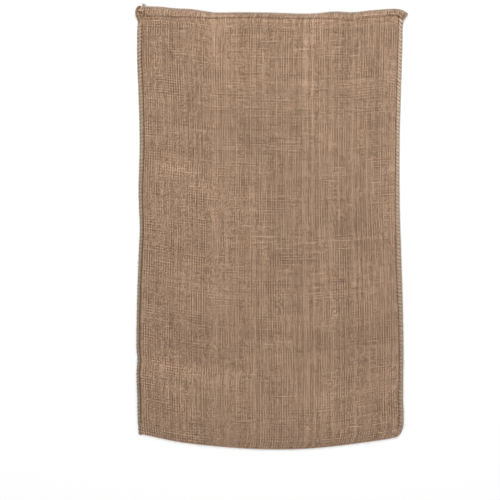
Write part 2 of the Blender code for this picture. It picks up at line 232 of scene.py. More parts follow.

# Places painted paler or darker, as shares. Most lie along the folds, darker in
# their troughs as painted shade and paler on their ridges as painted light; the
# rest are the cloth's own tone. A share below zero is darker.
PAINTED_LIGHT_AND_TONES = table(
    Swell,
    (0.244, 0.388, 90, 0.047, 0.019, -0.1), (0.242, 0.255, 90, 0.042, 0.014, -0.08),
    (0.191, 0.014, 15, 0.051, 0.023, -0.1), (0.016, 0.012, 90, 0.047, 0.012, -0.07),
    (-0.194, 0.292, 90, 0.04, 0.012, -0.08), (-0.281, 0.271, 0, 0.019, 0.019, -0.06),
    (-0.068, 0.25, -30, 0.03, 0.016, -0.07), (-0.241, 0.404, 0, 0.021, 0.014, -0.07),
    (-0.276, 0.007, 90, 0.03, 0.014, -0.05), (-0.204, -0.273, -10, 0.075, 0.014, -0.07),
    (-0.269, -0.378, 0, 0.023, 0.019, -0.06), (-0.012, -0.382, -45, 0.033, 0.014, -0.07),
    (-0.206, -0.452, 0, 0.028, 0.019, -0.05), (-0.141, -0.196, 0, 0.021, 0.019, -0.05),
    (0.13, -0.266, 5, 0.07, 0.016, -0.04), (0.086, 0.329, 90, 0.035, 0.019, 0.08),
    (0.081, 0.427, 90, 0.028, 0.014, 0.05), (-0.229, 0.136, 0, 0.028, 0.023, 0.06),
    (0.058, 0.077, 90, 0.028, 0.021, 0.05), (0.279, 0.133, 90, 0.098, 0.014, 0.08),
    (0.277, -0.137, 90, 0.042, 0.014, 0.06), (0.081, -0.214, 0, 0.023, 0.021, 0.04),
    (0.109, -0.406, 0, 0.023, 0.021, 0.05), (-0.071, -0.133, 0, 0.023, 0.023, 0.04),
    (0.27, 0.37, 93, 0.085, 0.02, 0.09), (0.297, 0.494, 40, 0.008, 0.008, 0.16),
)

# Steps of the grid, as distances from the edges, the stitches and the hem.
EDGE_STEPS = (0.0, 0.0005, 0.0013, 0.0025, 0.0040, 0.0055)
NEAR_STITCHES = (0.0012, 0.0027)
FOLD_STEPS = (0.0, 0.0005, 0.0013, 0.0026, 0.0042, 0.0064, 0.0090, 0.0130, 0.0180, 0.0250)
BELOW_HEM = (0.0175, 0.0130, 0.0090, 0.0060, 0.0036, 0.0020, 0.0009, 0.0)
HEM_SHARES = (0.94, 0.85, 0.70, 0.50, 0.30, 0.18, 0.10, 0.045, 0.012, 0.0)
POCKET_COLUMNS = 134
BODY_ROWS = 214
INSIDE_ROWS_KEPT = 4    # the hollow's lining has one row for each four of the face
BODY_START = 0.034      # first stitch, up from the bottom fold
BODY_END = 0.022        # last stitch, down from the hem
CROWDING = 0.10         # how much the columns gather towards the sides
SLACK = 1e-6            # of places that ought to be the same
PLACE_ROUNDS = 6        # tries, each nearer, at a plan position's shares

EDGE_ROUND = 0.0026     # reach of the rounding along the sides and the fold
EDGE_CORE = 0.16        # share of the thickness left at the very edge
AT_MOUTH = 0.8          # how far in a strip is rounded at the mouth, to its sides
STRIP_LIFT = 0.0009     # the yarn under a seam lifts its cloth this much
LAYER_GROOVE = 0.0009   # how deep the line between the two layers is at a side
GROOVE_STOP = 0.030     # the line stops this far from the fold and the mouth
SIDES_FROM = 0.290      # the walls of both sides lie farther out than this
SCALLOP = 0.0007        # how far each stitch draws the edge in
SCALLOP_REACH = 0.0040
NEEDLE_GROOVE = 0.0007
NEEDLE_HALF_WIDTH = 0.0020
HEM_GROOVE = 0.0006
HEM_GROOVE_HALF_WIDTH = 0.0013
PUCKER = 0.00034        # how far each stitch draws down the cloth beside it
PUCKER_REACH = 0.008
WIDE_PUCKER = 0.00040   # slower waves along the stitches
WIDE_PUCKER_REACH = 0.022
WRINKLE = 0.00030       # slanting wrinkles of the hem's roll
WRINKLE_LENGTH = 0.0125
LUMP = 0.00045          # slow lumps along the roll
RIPPLE = 0.00030        # where the hem's thread gathers the cloth below it
RIPPLE_LENGTH = 0.0092
RIPPLE_REACH = 0.009
LINING_INSET = 0.0014   # the lining starts this far inside the stitches
LEAST_CLOTH = 0.0005    # left under the deepest crease
COCKLES = 26            # waves that make up the cloth's fine unevenness
COCKLE_WAVES = (0.016, 0.075)   # the shortest and the longest
COCKLE = 0.0011         # how high they are, for their length
UV_FOLD_GAP = 0.0006    # half the cloth round the bottom fold
UV_FOLD_REACH = 0.004   # faces round the fold lie within this of it
# Painted light and shade: the cloth is painted paler where a fold lifts it and darker in its troughs.
PAINTED_LIGHT_BY_HEIGHT = 55.0   # how much paler the cloth is for each metre that a fold lifts it
RIM_AT_MOUTH, RIM_AT_SIDE = 0.0060, 0.0030      # half widths of the grey rim, painted shade along the edges

SEED = 7


# --- Curves and places on the cloth, for whole arrays at a time ---
def curve_through(points, key, value):
    """A smooth function of one column of a table, through all its rows."""
    keys = np.array([getattr(point, key) for point in points])
    values = np.array([getattr(point, value) for point in points])
    steps, rises = np.diff(keys), np.diff(values)
    inner = (rises[:-1] + rises[1:]) / (steps[:-1] + steps[1:])
    slopes = np.concatenate(([rises[0] / steps[0]], inner, [rises[-1] / steps[-1]]))

    def at(place):
        place = np.clip(place, keys[0], keys[-1])
        n = np.clip(np.searchsorted(keys, place) - 1, 0, len(steps) - 1)
        step = steps[n]
        u = (place - keys[n]) / step
        start = (1 + 2 * u) * (1 - u) ** 2 * values[n] + u * (1 - u) ** 2 * step * slopes[n]
        end = u * u * (3 - 2 * u) * values[n + 1] + u * u * (u - 1) * step * slopes[n + 1]
        return start + end

    return at


def along_edge(points, key):
    """Point of an edge at a share, from 0 to 1, of its run along one axis."""
    other = "y" if key == "x" else "x"
    across = curve_through(points, key, other)
    first, last = getattr(points[0], key), getattr(points[-1], key)

    def at(share):
        place = first + share * (last - first)
        return (place, across(place)) if key == "x" else (across(place), place)

    return at


bottom_edge = along_edge(BOTTOM_EDGE, "x")
mouth_edge = along_edge(MOUTH_EDGE, "x")
left_edge = along_edge(LEFT_EDGE, "y")
right_edge = along_edge(RIGHT_EDGE, "y")
hem_width = curve_through(HEM_WIDTHS, "x", "width")
hem_draw = curve_through(HEM_DRAWS, "x", "share")


def on_plan(across, up):
    """Plan position of a share across the sack and a share up its length."""
    low, high = bottom_edge(across), mouth_edge(across)
    left, right = left_edge(up), right_edge(up)
    place = []
    for axis in (0, 1):
        corners = (1 - across) * (1 - up) * bottom_edge(0.0)[axis]
        corners = corners + across * (1 - up) * bottom_edge(1.0)[axis]
        corners = corners + (1 - across) * up * mouth_edge(0.0)[axis]
        corners = corners + across * up * mouth_edge(1.0)[axis]
        between_ends = (1 - up) * low[axis] + up * high[axis]
        between_sides = (1 - across) * left[axis] + across * right[axis]
        place.append(between_ends + between_sides - corners)
    return place


def shares_at(x, y):
    """The shares across and up the cloth whose plan position is (x, y)."""
    x, y = np.asarray(x, float), np.asarray(y, float)
    across, up = x / WIDTH + 0.5, y / LENGTH + 0.5
    for _ in range(PLACE_ROUNDS):
        now_x, now_y = on_plan(across, up)
        across = np.clip(across + (x - now_x) / WIDTH, 0, 1)
        up = np.clip(up + (y - now_y) / LENGTH, 0, 1)
    return across, up


def rise(distance, reach):
    """Soft climb from 0 at no distance to 1 at the reach and beyond."""
    return 1 - (1 - np.clip(distance / reach, 0, 1)) ** 2


def ease(distance, reach):
    """S-shaped climb from 0 at no distance to 1 at the reach and beyond."""
    u = np.clip(distance / reach, 0, 1)
    return u * u * (3 - 2 * u)


def bump_at(distance, half_width):
    """1 at no distance, falling softly to nothing."""
    return np.exp(-(distance / half_width) ** 2)


def round_over(share):
    """Height of a full, round shoulder from 1 at share 0 to 0 at share 1."""
    return np.sqrt(np.clip(1 - np.clip(share, 0, 1) ** 3, 0, 1))


def soft_swells(rows, x, y):
    """What a table's long swells add up to at some places."""
    total = 0 * x
    for row in rows:
        turn = math.radians(row.turn)
        dx, dy = x - row.x, y - row.y
        length_off = (dx * math.cos(turn) + dy * math.sin(turn)) / row.reach
        width_off = (dy * math.cos(turn) - dx * math.sin(turn)) / row.half_width
        total = total + row.amount * np.exp(-length_off ** 2 - width_off ** 2)
    return total


def bunch_height(x, y):
    """Height that the bunched corners of the hem add on top."""
    total = 0 * x
    for bunch in BUNCHES:
        off = np.hypot(x - bunch.x, y - bunch.y) / bunch.radius
        total = total + bunch.height * np.exp(-off ** 2)
    return total


def crease_share(crease, x, y):
    """1 along a crease, falling softly to nothing beside it and at its ends."""
    run = np.array([crease.end_x - crease.x, crease.end_y - crease.y])
    length = float(np.hypot(*run))
    dx, dy = x - crease.x, y - crease.y
    along = (dx * run[0] + dy * run[1]) / length
    beside = (dy * run[0] - dx * run[1]) / length
    past = np.maximum(np.maximum(-along, along - length), 0)
    return bump_at(np.hypot(beside, past), crease.half_width)


def crease_height(x, y):
    """Height that the sharp creases add to the face."""
    return sum(crease.height * crease_share(crease, x, y) for crease in CREASES)


def cockle(x, y):
    """Fine unevenness of jute that has lain folded, about 0.3 mm up and down."""
    random = np.random.default_rng(SEED)
    total = 0 * x
    for _ in range(COCKLES):
        wave = random.uniform(*COCKLE_WAVES)
        turn = random.uniform(0, math.pi)
        phase = random.uniform(0, 2 * math.pi)
        travel = x * math.cos(turn) + y * math.sin(turn)
        bend = 0.6 * np.sin((x * math.sin(turn) - y * math.cos(turn)) / wave + phase)
        total = total + wave ** 0.8 * np.sin(2 * math.pi * travel / wave + phase + bend)
    return COCKLE * total


def needle_at(needle, value, y):
    """One column of a seam's table at some heights."""
    return curve_through(needle, "y", value)(y)


class Spots:
    """Places on the cloth, as arrays, with the heights of its two layers there."""

    def __init__(self, across, up):
        self.across, self.up = np.broadcast_arrays(across, up)
        self.x, self.y = on_plan(self.across, self.up)
        self.from_left = self.across * WIDTH
        self.from_right = (1 - self.across) * WIDTH
        self.from_fold = self.up * LENGTH
        self.from_mouth = (1 - self.up) * LENGTH
        self.hem = hem_width(self.x)
        self.below_hem = self.from_mouth - self.hem
        self.from_side = np.minimum(self.from_left, self.from_right)
        self.in_pocket = np.minimum(self.from_left - LEFT_STRIP, self.from_right - RIGHT_STRIP)
        self.in_strip = self.in_pocket < -SLACK
        self.from_needle = np.minimum(
            np.abs(self.from_left - needle_at(LEFT_NEEDLE, "inset", self.y)),
            np.abs(self.from_right - needle_at(RIGHT_NEEDLE, "inset", self.y)))
        # across the roll of the hem: 0 at its lip and 1 at its thread
        roll = self.from_mouth / self.hem
        self.lip = np.where(roll < 0.5, round_over(1 - 2 * roll), 1.0)
        self.shoulder = np.where(roll > 0.5, round_over(2 * roll - 1), 1.0)
        self.in_lip_half = roll < 0.5
        # counts the stitches up the side, one to each two rows of the grid
        body = LENGTH - self.hem - BODY_END - BODY_START
        self.stitch = (self.from_fold - BODY_START) / body * BODY_ROWS / 2
        self.at_hole = 0.5 + 0.5 * np.cos(2 * math.pi * self.stitch)

    def held_up(self):
        return 1 - ease(self.below_hem, HEM_LIFT_REACH)

    def back_under(self):
        """Underside of the back layer: its hem, or the layer the hem holds up."""
        lifted = (HEM_BACK - CLOTH) * self.held_up() * (1 - self.shoulder)
        return np.where(self.in_lip_half, HEM_BACK / 2 * (1 - self.lip), lifted)

    def back_inside(self):
        """Upper face of the back layer, inside the sack."""
        top = CLOTH + (HEM_BACK - CLOTH) * self.held_up()
        return top - HEM_BACK / 2 * (1 - self.lip)

    def front_base(self):
        """Lower face of the front layer before the lip of its hem is rounded."""
        sides = rise(self.in_pocket, SIDE_REACH)
        ends = rise(self.from_fold - FOLD_INSET, FOLD_REACH)
        towards_mouth = 1 - ease(self.from_mouth, MOUTH_REACH)
        loft = LOFT + (MOUTH_LOFT - LOFT) * towards_mouth
        swell = soft_swells(FOLDS, self.x, self.y) + cockle(self.x, self.y)
        back = CLOTH + (HEM_BACK - CLOTH) * self.held_up()
        return back + LEAST_GAP + (loft + swell) * sides * ends

    def front_inside(self):
        """Lower face of the front layer, inside the sack."""
        return self.front_base() + HEM_FRONT / 2 * (1 - self.lip)

    def front_over(self):
        """Upper face of the front layer, with all that shows on it."""
        base = self.front_base()
        cloth = base + CLOTH + (HEM_FRONT - CLOTH) * self.shoulder
        over = np.where(self.in_lip_half, base + HEM_FRONT / 2 * (1 + self.lip), cloth)
        over = over + bunch_height(self.x, self.y) + self.face_detail()
        return np.maximum(over, self.front_inside() + LEAST_CLOTH)

    def face_detail(self):
        """Puckers at the stitches, the hem's wrinkles and thread, creases."""
        from_stitches = np.maximum(self.in_pocket, 0)
        turn = 2 * math.pi * self.stitch
        puckers = -PUCKER * np.cos(turn) * np.exp(-from_stitches / PUCKER_REACH)
        wander = np.sin(self.y * 41) + np.sin(self.y * 67 + 1.3)
        wide = WIDE_PUCKER * np.sin(turn / 3.3 + wander) * np.exp(-from_stitches / WIDE_PUCKER_REACH)
        wide = wide * rise(self.in_pocket, 0.006)
        needle = -NEEDLE_GROOVE * bump_at(self.from_needle, NEEDLE_HALF_WIDTH)
        needle = needle * (0.55 + 0.45 * self.at_hole)

        on_roll = self.shoulder * self.lip
        slant = (self.x + 0.7 * self.from_mouth) / WRINKLE_LENGTH + 0.8 * np.sin(self.x * 47)
        wrinkles = WRINKLE * np.sin(2 * math.pi * slant) * on_roll
        lumps = LUMP * np.sin(self.x * 93 + 2 * np.sin(self.x * 31)) * on_roll
        drawn = hem_draw(self.x) * rise(self.in_pocket, 0.010)
        groove = -HEM_GROOVE * drawn * bump_at(self.below_hem, HEM_GROOVE_HALF_WIDTH)
        ripples = RIPPLE * np.sin(self.x * 2 * math.pi / RIPPLE_LENGTH + 3 * np.sin(self.x * 23))
        ripples = ripples * drawn * np.exp(-np.maximum(self.below_hem, 0) / RIPPLE_REACH)
        ripples = ripples * (1 - self.shoulder)
        creases = crease_height(self.x, self.y)
        near_fold = rise(self.from_fold, 0.012)
        return (puckers + wide) * near_fold + needle + wrinkles + lumps + groove + ripples + creases

    def strip(self):
        """Under and upper face of the pressed strip outside the stitches."""
        on_hem = 1 - ease(self.below_hem, SEAM_LIFT_REACH)
        over = SEAM + (SEAM_AT_HEM - SEAM) * on_hem + bunch_height(self.x, self.y)
        over = over - 0.0004 * (1 - self.at_hole) * (1 - on_hem) + crease_height(self.x, self.y)
        needle = NEEDLE_GROOVE * bump_at(self.from_needle, NEEDLE_HALF_WIDTH)
        lift = STRIP_LIFT * ease(-self.in_pocket, 0.003) * (1 - 0.6 * on_hem)
        return lift, over - needle * (0.55 + 0.45 * self.at_hole)

    def faces(self):
        """Under and upper face of the sack before its edges are rounded."""
        under, over = self.strip()
        return (np.where(self.in_strip, under, self.back_under()),
                np.where(self.in_strip, over, self.front_over()))

    def outer_skin(self):
        """Points of the outer skin: (under, over)."""
        under, over = self.faces()
        edge = np.minimum(self.from_side, self.from_fold)
        edge = np.where(self.in_strip, np.minimum(edge, self.from_mouth * AT_MOUTH), edge)
        left_over = 1 - np.clip(edge / EDGE_ROUND, 0, 1)
        share = np.maximum(EDGE_CORE, np.sqrt(1 - left_over ** 2))
        middle, half = (under + over) / 2, (over - under) / 2 * share
        low, high = middle - half, middle + half
        x = self.drawn_in()
        return np.stack((x, self.y, low), -1), np.stack((x, self.y, high), -1)

    def drawn_in(self):
        """Place across the sack, with the outer edges drawn in by each stitch."""
        side = np.sign(self.from_right - self.from_left)
        draw = SCALLOP * (1 - self.at_hole) * np.clip(1 - self.from_side / SCALLOP_REACH, 0, 1)
        return self.x + side * draw * rise(self.from_fold, 0.02) * ease(self.below_hem, 0.01)

    def lining(self):
        """Points of the skin that lines the hollow: (under, over)."""
        inward = LINING_INSET * (1 - rise(self.in_pocket, SIDE_REACH))
        x = self.x + np.copysign(inward, self.from_right - self.from_left)
        under, over = self.back_inside(), self.front_inside()
        return np.stack((x, self.y, under), -1), np.stack((x, self.y, over), -1)

    def marks(self):
        """What the cloth's finish reads at each spot, by the attribute's name."""
        creases = sum(crease_share(crease, self.x, self.y) for crease in CREASES)
        drawn = hem_draw(self.x) * rise(self.in_pocket + 0.002, 0.006)
        line = drawn * bump_at(self.below_hem - 0.0002, HEM_GROOVE_HALF_WIDTH)
        row = bump_at(self.from_needle, NEEDLE_HALF_WIDTH) * ease(self.below_hem + 0.004, 0.006)
        needle = row * (0.62 + 0.38 * self.at_hole)
        rolled = np.maximum(self.shoulder, 0.6 * (1 - ease(self.below_hem, 0.030)))
        on_left = self.from_left < WIDTH / 2
        # Painted light and shade: paler where a fold lifts the cloth, darker in its troughs.
        worn = PAINTED_LIGHT_BY_HEIGHT * soft_swells(FOLDS, self.x, self.y)
        # A grey rim painted along the mouth and the sides, as painted shade where the edges turn down.
        rim = np.maximum(bump_at(self.from_mouth, RIM_AT_MOUTH), bump_at(self.from_side, RIM_AT_SIDE))
        return {
            # painted shade in the hem's groove and along the creases
            "line": np.clip(0.22 * line + 0.80 * creases, 0, 0.85),
            "needle_left": np.where(on_left, needle * needle_at(LEFT_NEEDLE, "dark", self.y), 0),
            # the right row of needle holes, painted in shade
            "needle_right": np.where(on_left, 0, needle * needle_at(RIGHT_NEEDLE, "dark", self.y)),
            "hem": rolled * ease(self.in_pocket + 0.006, 0.006),
            # painted light on the folds' ridges and painted shade in their troughs, with the cloth's
            # own tone
            "worn": worn + soft_swells(PAINTED_LIGHT_AND_TONES, self.x, self.y),
            "rim": rim,
        }


def column_shares():
    """Shares across the sack: the left strip, the pocket, the right strip."""
    left, right = (
        [*EDGE_STEPS, (EDGE_STEPS[-1] + strip) / 2, strip] for strip in (LEFT_STRIP, RIGHT_STRIP))
    strips = len(left) - 1, len(right) - 1
    left += [LEFT_STRIP + step for step in NEAR_STITCHES]
    right += [RIGHT_STRIP + step for step in NEAR_STITCHES]
    start, end = left[-1], WIDTH - right[-1]
    even = np.linspace(-1, 1, POCKET_COLUMNS + 1)[1:-1]
    even = even + CROWDING * np.sin(math.pi * even)
    pocket = (start + end) / 2 + (end - start) / 2 * even
    places = np.concatenate((left, pocket, WIDTH - np.array(right[::-1])))
    return places / WIDTH, strips


def row_shares(across):
    """Shares up the sack for each column: fold, body, below the hem, hem."""
    hem = hem_width(mouth_edge(across)[0])[:, None]
    body_top = LENGTH - hem - BODY_END
    body = BODY_START + (body_top - BODY_START) * np.linspace(0, 1, BODY_ROWS + 1)
    low = np.broadcast_to(FOLD_STEPS, (len(across), len(FOLD_STEPS)))
    rows = (low, body, LENGTH - hem - np.array(BELOW_HEM), LENGTH - hem * np.array(HEM_SHARES))
    return np.concatenate(rows, axis=1) / LENGTH


# --- Meshes ---
def add_holder(name, data):
    """A new object in the scene that holds a mesh, a light or a camera."""
    holder = bpy.data.objects.new(name, data)
    bpy.context.scene.collection.objects.link(holder)
    return holder


def add_object(name, mesh, material, smooth_angle=60):
    """A new piece of the sack from a bmesh, riding on its body."""
    data = bpy.data.meshes.new(name)
    mesh.to_mesh(data)
    mesh.free()
    data.materials.append(material)
    data.shade_smooth()
    data.set_sharp_from_angle(angle=math.radians(smooth_angle))
    piece = add_holder(name, data)
    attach(piece, BODY)
    return piece


def grid_places(verts, across, up):
    """Column and row of each vertex of a grid that is one unit wide."""
    spots = np.array([vert.co[:2] for vert in verts]) + 0.5
    return np.rint(spots * (across, up)).astype(int)


def two_skins(mesh, layers, skins, flats, marks, strips):
    """A closed pair of skins over a grid of spots, with a wall round it.

    Returns the faces of the wall that stand at the mouth between the strips,
    which are this many columns wide at the left and the right.
    """
    across, up = (size - 1 for size in skins[0].shape[:2])
    under = bmesh.ops.create_grid(mesh, x_segments=across, y_segments=up, size=0.5)["verts"]
    sheet = list({face for vert in under for face in vert.link_faces})
    raised = bmesh.ops.extrude_face_region(mesh, geom=sheet)["geom"]
    over = [item for item in raised if isinstance(item, bmesh.types.BMVert)]
    lowest, highest = -0.5 + strips[0] / across, 0.5 - strips[1] / across
    wall = []
    for face in {face for vert in under for face in vert.link_faces}:
        centre = face.calc_center_median()
        if centre.y > 0.5 - SLACK and lowest < centre.x < highest:
            wall.append(face)
    for skin, flat, verts in zip(skins, flats, (under, over)):
        for vert, (column, row) in zip(verts, grid_places(verts, across, up)):
            vert.co = skin[column, row]
            vert[layers["flat_x"]], vert[layers["flat_y"]] = flat[column, row]
            for name, values in marks.items():
                vert[layers[name]] = values[column, row]
    return wall


def flat_places(spots):
    """Where each spot lies on the flat cloth: (back layer, front layer)."""
    along = spots.from_fold + UV_FOLD_GAP
    return np.stack((spots.from_left, -along), -1), np.stack((spots.from_left, along), -1)


def unfold(mesh, layers):
    """Write the flat cloth's places, in metres, as the UV map of the mesh."""
    uv = mesh.loops.layers.uv.new("flat_cloth")
    x_layer, y_layer = layers["flat_x"], layers["flat_y"]
    for face in mesh.faces:
        alongs = [vert[y_layer] for vert in face.verts]
        spans_both = min(alongs) < -UV_FOLD_REACH and max(alongs) > UV_FOLD_REACH
        for loop in face.loops:
            x, y = loop.vert[x_layer], loop.vert[y_layer]
            loop[uv].uv = (x + loop.vert.co.z, abs(y)) if spans_both else (x, y)
    for name in ("flat_x", "flat_y"):
        mesh.verts.layers.float.remove(mesh.verts.layers.float[name])


def groove_the_sides(mesh):
    """Draw the line between the two layers into the wall along both sides."""
    upright = []
    for edge in mesh.edges:
        a, b = (vert.co for vert in edge.verts)
        if abs(a.x) > SIDES_FROM and (a - b).xy.length < SLACK < abs(a.z - b.z):
            upright.append(edge)
    made = bmesh.ops.subdivide_edges(mesh, edges=upright, cuts=1, use_grid_fill=True)
    for item in made["geom_inner"]:
        if isinstance(item, bmesh.types.BMVert) and abs(item.co.y) < LENGTH / 2 - GROOVE_STOP:
            item.co.x -= math.copysign(LAYER_GROOVE, item.co.x)


def weave_cloth(settings):
    """The sack's cloth as one closed, hollow shell on its solid's form."""
    shares, strips = column_shares()
    rows = row_shares(shares)
    spots = Spots(shares[:, None], rows)
    marks = spots.marks()
    body, last = len(FOLD_STEPS), rows.shape[1]
    hem = last - len(BELOW_HEM) - len(HEM_SHARES)
    kept = np.r_[body - 6, body - 3, np.arange(body, hem, INSIDE_ROWS_KEPT), np.arange(hem, last)]
    pocket = slice(strips[0], len(shares) - strips[1])
    inside = Spots(shares[pocket, None], rows[pocket][:, kept])

    mesh = bmesh.new()
    names = ["flat_x", "flat_y", *marks]
    for name in names:
        mesh.verts.layers.float.new(name)
    layers = {name: mesh.verts.layers.float[name] for name in names}
    outer_wall = two_skins(mesh, layers, spots.outer_skin(), flat_places(spots), marks, strips)
    inner_wall = two_skins(mesh, layers, inside.lining(), flat_places(inside), {}, (0, 0))
    bmesh.ops.delete(mesh, geom=outer_wall + inner_wall, context="FACES")
    bmesh.ops.bridge_loops(mesh, edges=[edge for edge in mesh.edges if edge.is_boundary])
    unfold(mesh, layers)
    bmesh.ops.recalc_face_normals(mesh, faces=mesh.faces[:])
    groove_the_sides(mesh)

    piece = add_object("woven_cloth", mesh, jute_cloth(settings))
    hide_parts(CLOTH_NODE)
    return piece


UPWARDS = np.array((0.0, 0.0, 1.0))


def unit(vectors):
    """The same vectors with a length of 1."""
    return vectors / np.maximum(np.linalg.norm(vectors, axis=-1, keepdims=True), 1e-12)


def strands(mesh, paths, radii, sides, outwards=UPWARDS, lowest=None, greys=None, flat=1.0):
    """Closed strands, one along each path, all with as many rings.

    paths is (strand, ring, xyz), radii and greys are (strand, ring), and
    outwards gives the direction that each ring starts from, along which it is
    pressed flat. One strand needs no first axis. No point goes below lowest.
    """
    radii = np.atleast_2d(radii)
    count, rings = radii.shape
    paths = paths.reshape(count, rings, 3)
    along = unit(np.gradient(paths, axis=1))
    first = unit(outwards - along * np.sum(outwards * along, -1, keepdims=True))
    second = np.cross(along, first)
    turns = np.linspace(0, 2 * math.pi, sides + 1)
    ring = flat * np.cos(turns)[:, None] * first[..., None, :]
    ring = ring + np.sin(turns)[:, None] * second[..., None, :]
    points = (paths[..., None, :] + radii[..., None, None] * ring).reshape(-1, sides + 1, 3)
    if lowest is not None:
        points[..., 2] = np.maximum(points[..., 2], lowest)
    steps = np.linalg.norm(np.diff(paths, axis=1, prepend=paths[:, :1]), axis=-1)
    lengths = np.cumsum(steps, axis=1).reshape(-1)

    rows = count * rings - 1
    greys = np.zeros(rows + 1) if greys is None else greys
    grey = mesh.verts.layers.float.get("grey") or mesh.verts.layers.float.new("grey")
    verts = bmesh.ops.create_grid(mesh, x_segments=sides, y_segments=rows, size=0.5)["verts"]
    places = {}
    for vert, (column, row) in zip(verts, grid_places(verts, sides, rows)):
        vert.co = points[row, column]
        vert[grey] = greys[row]
        places[vert] = column, row
    uv = mesh.loops.layers.uv.verify()
    between = []
    for face in {face for vert in verts for face in vert.link_faces}:
        for loop in face.loops:
            column, row = places[loop.vert]
            loop[uv].uv = (column / sides, lengths[row])
        if len({places[vert][1] // rings for vert in face.verts}) > 1:
            between.append(face)
    by_place = {place: vert for vert, place in places.items()}
    bmesh.ops.delete(mesh, geom=between, context="FACES")
    welds = {by_place[sides, row]: by_place[0, row] for row in range(rows + 1)}
    bmesh.ops.weld_verts(mesh, targetmap=welds)
    ends = [edge for edge in mesh.edges if edge.is_boundary]
    bmesh.ops.holes_fill(mesh, edges=ends, sides=sides)
    bmesh.ops.recalc_face_normals(mesh, faces=mesh.faces[:])


def strand_piece(name, material, paths, radii, sides, smooth_angle=80, **how):
    """A piece of the sack that is made of strands."""
    mesh = bmesh.new()
    strands(mesh, paths, radii, sides, **how)
    return add_object(name, mesh, material, smooth_angle)


def smooth_path(points, steps):
    """A curve through a few points, as steps + 1 points at even shares."""
    row = namedtuple("row", "key value")
    keys, places = np.linspace(0, 1, len(points)), np.linspace(0, 1, steps + 1)
    columns = (table(row, *zip(keys, column)) for column in np.array(points, float).T)
    return np.stack([curve_through(column, "key", "value")(places) for column in columns], -1)


# Round one stitch of a seam: how far in from the edge, as a share of the
# strip, how far down, as a share of the pitch, and how high: 0 is the strip's
# underside and 1 its upper face, and lift is in radii of the yarn. The grey column
# paints the yarn greyer where it rounds the edge, as painted shade there.
Station = namedtuple("Station", "inset down height lift grey")

STITCH = table(
    Station,
    (0.99, 0.0, 0.5, 0.0, 0.4), (0.97, 0.02, 1.0, 0.0, 0.2), (0.9, 0.07, 1.0, 0.4, 0.0),
    (0.76, 0.16, 1.0, 0.6, 0.0), (0.54, 0.27, 1.0, 0.65, 0.0), (0.33, 0.37, 1.0, 0.6, 0.1),
    (0.13, 0.45, 1.0, 0.25, 0.4), (-0.02, 0.51, 0.62, 0.0, 0.8), (-0.01, 0.56, 0.28, 0.0, 1.0),
    (0.12, 0.61, 0.0, -0.3, 0.7), (0.34, 0.7, 0.0, -0.45, 0.1), (0.62, 0.8, 0.0, -0.45, 0.0),
    (0.86, 0.91, 0.0, -0.45, 0.2), (0.96, 0.98, 0.1, 0.0, 0.5),
)


def stitch_pitch(side):
    """From one stitch of a side seam to the next."""
    hem = hem_width(mouth_edge(0.0 if side < 0 else 1.0)[0])
    return (LENGTH - hem - BODY_END - BODY_START) / (BODY_ROWS / 2)


YARN_FLAT = 0.5         # height of the yarn where it is pressed on the cloth, to its width
STITCH_END = 0.0010     # the yarn's inner end stops this far short of the needle's row
FLOOR_GAP = 0.00005     # the lowest yarn lies this far over the floor
THIN_IN = (0.45, 0.60, 0.85)    # the yarn's radius where a stitch leaves the needle's hole
THIN_OUT = (0.9, 0.7, 0.5)      # and where it goes back into the next one

# A seam's first and last stitch, counted up from BODY_START and past the rows of
# the grid, its yarn's thickness as a share of the usual one, and how far down a
# stitch is at some shares of its turn.
Seam = namedtuple("Seam", "name side strip first last yarn turns downs needle")

SEAMS = table(
    Seam,
    ("left_seam_yarn", -1, LEFT_STRIP, 0, -3.4, 1.5, (0, 0.51, 1), (0, 0.56, 1), LEFT_NEEDLE),
    ("right_seam_yarn", 1, RIGHT_STRIP, 2, -1.4, 1.25, (0, 0.27, 0.51, 1), (0, 0.52, 0.36, 1),
     RIGHT_NEEDLE),
)


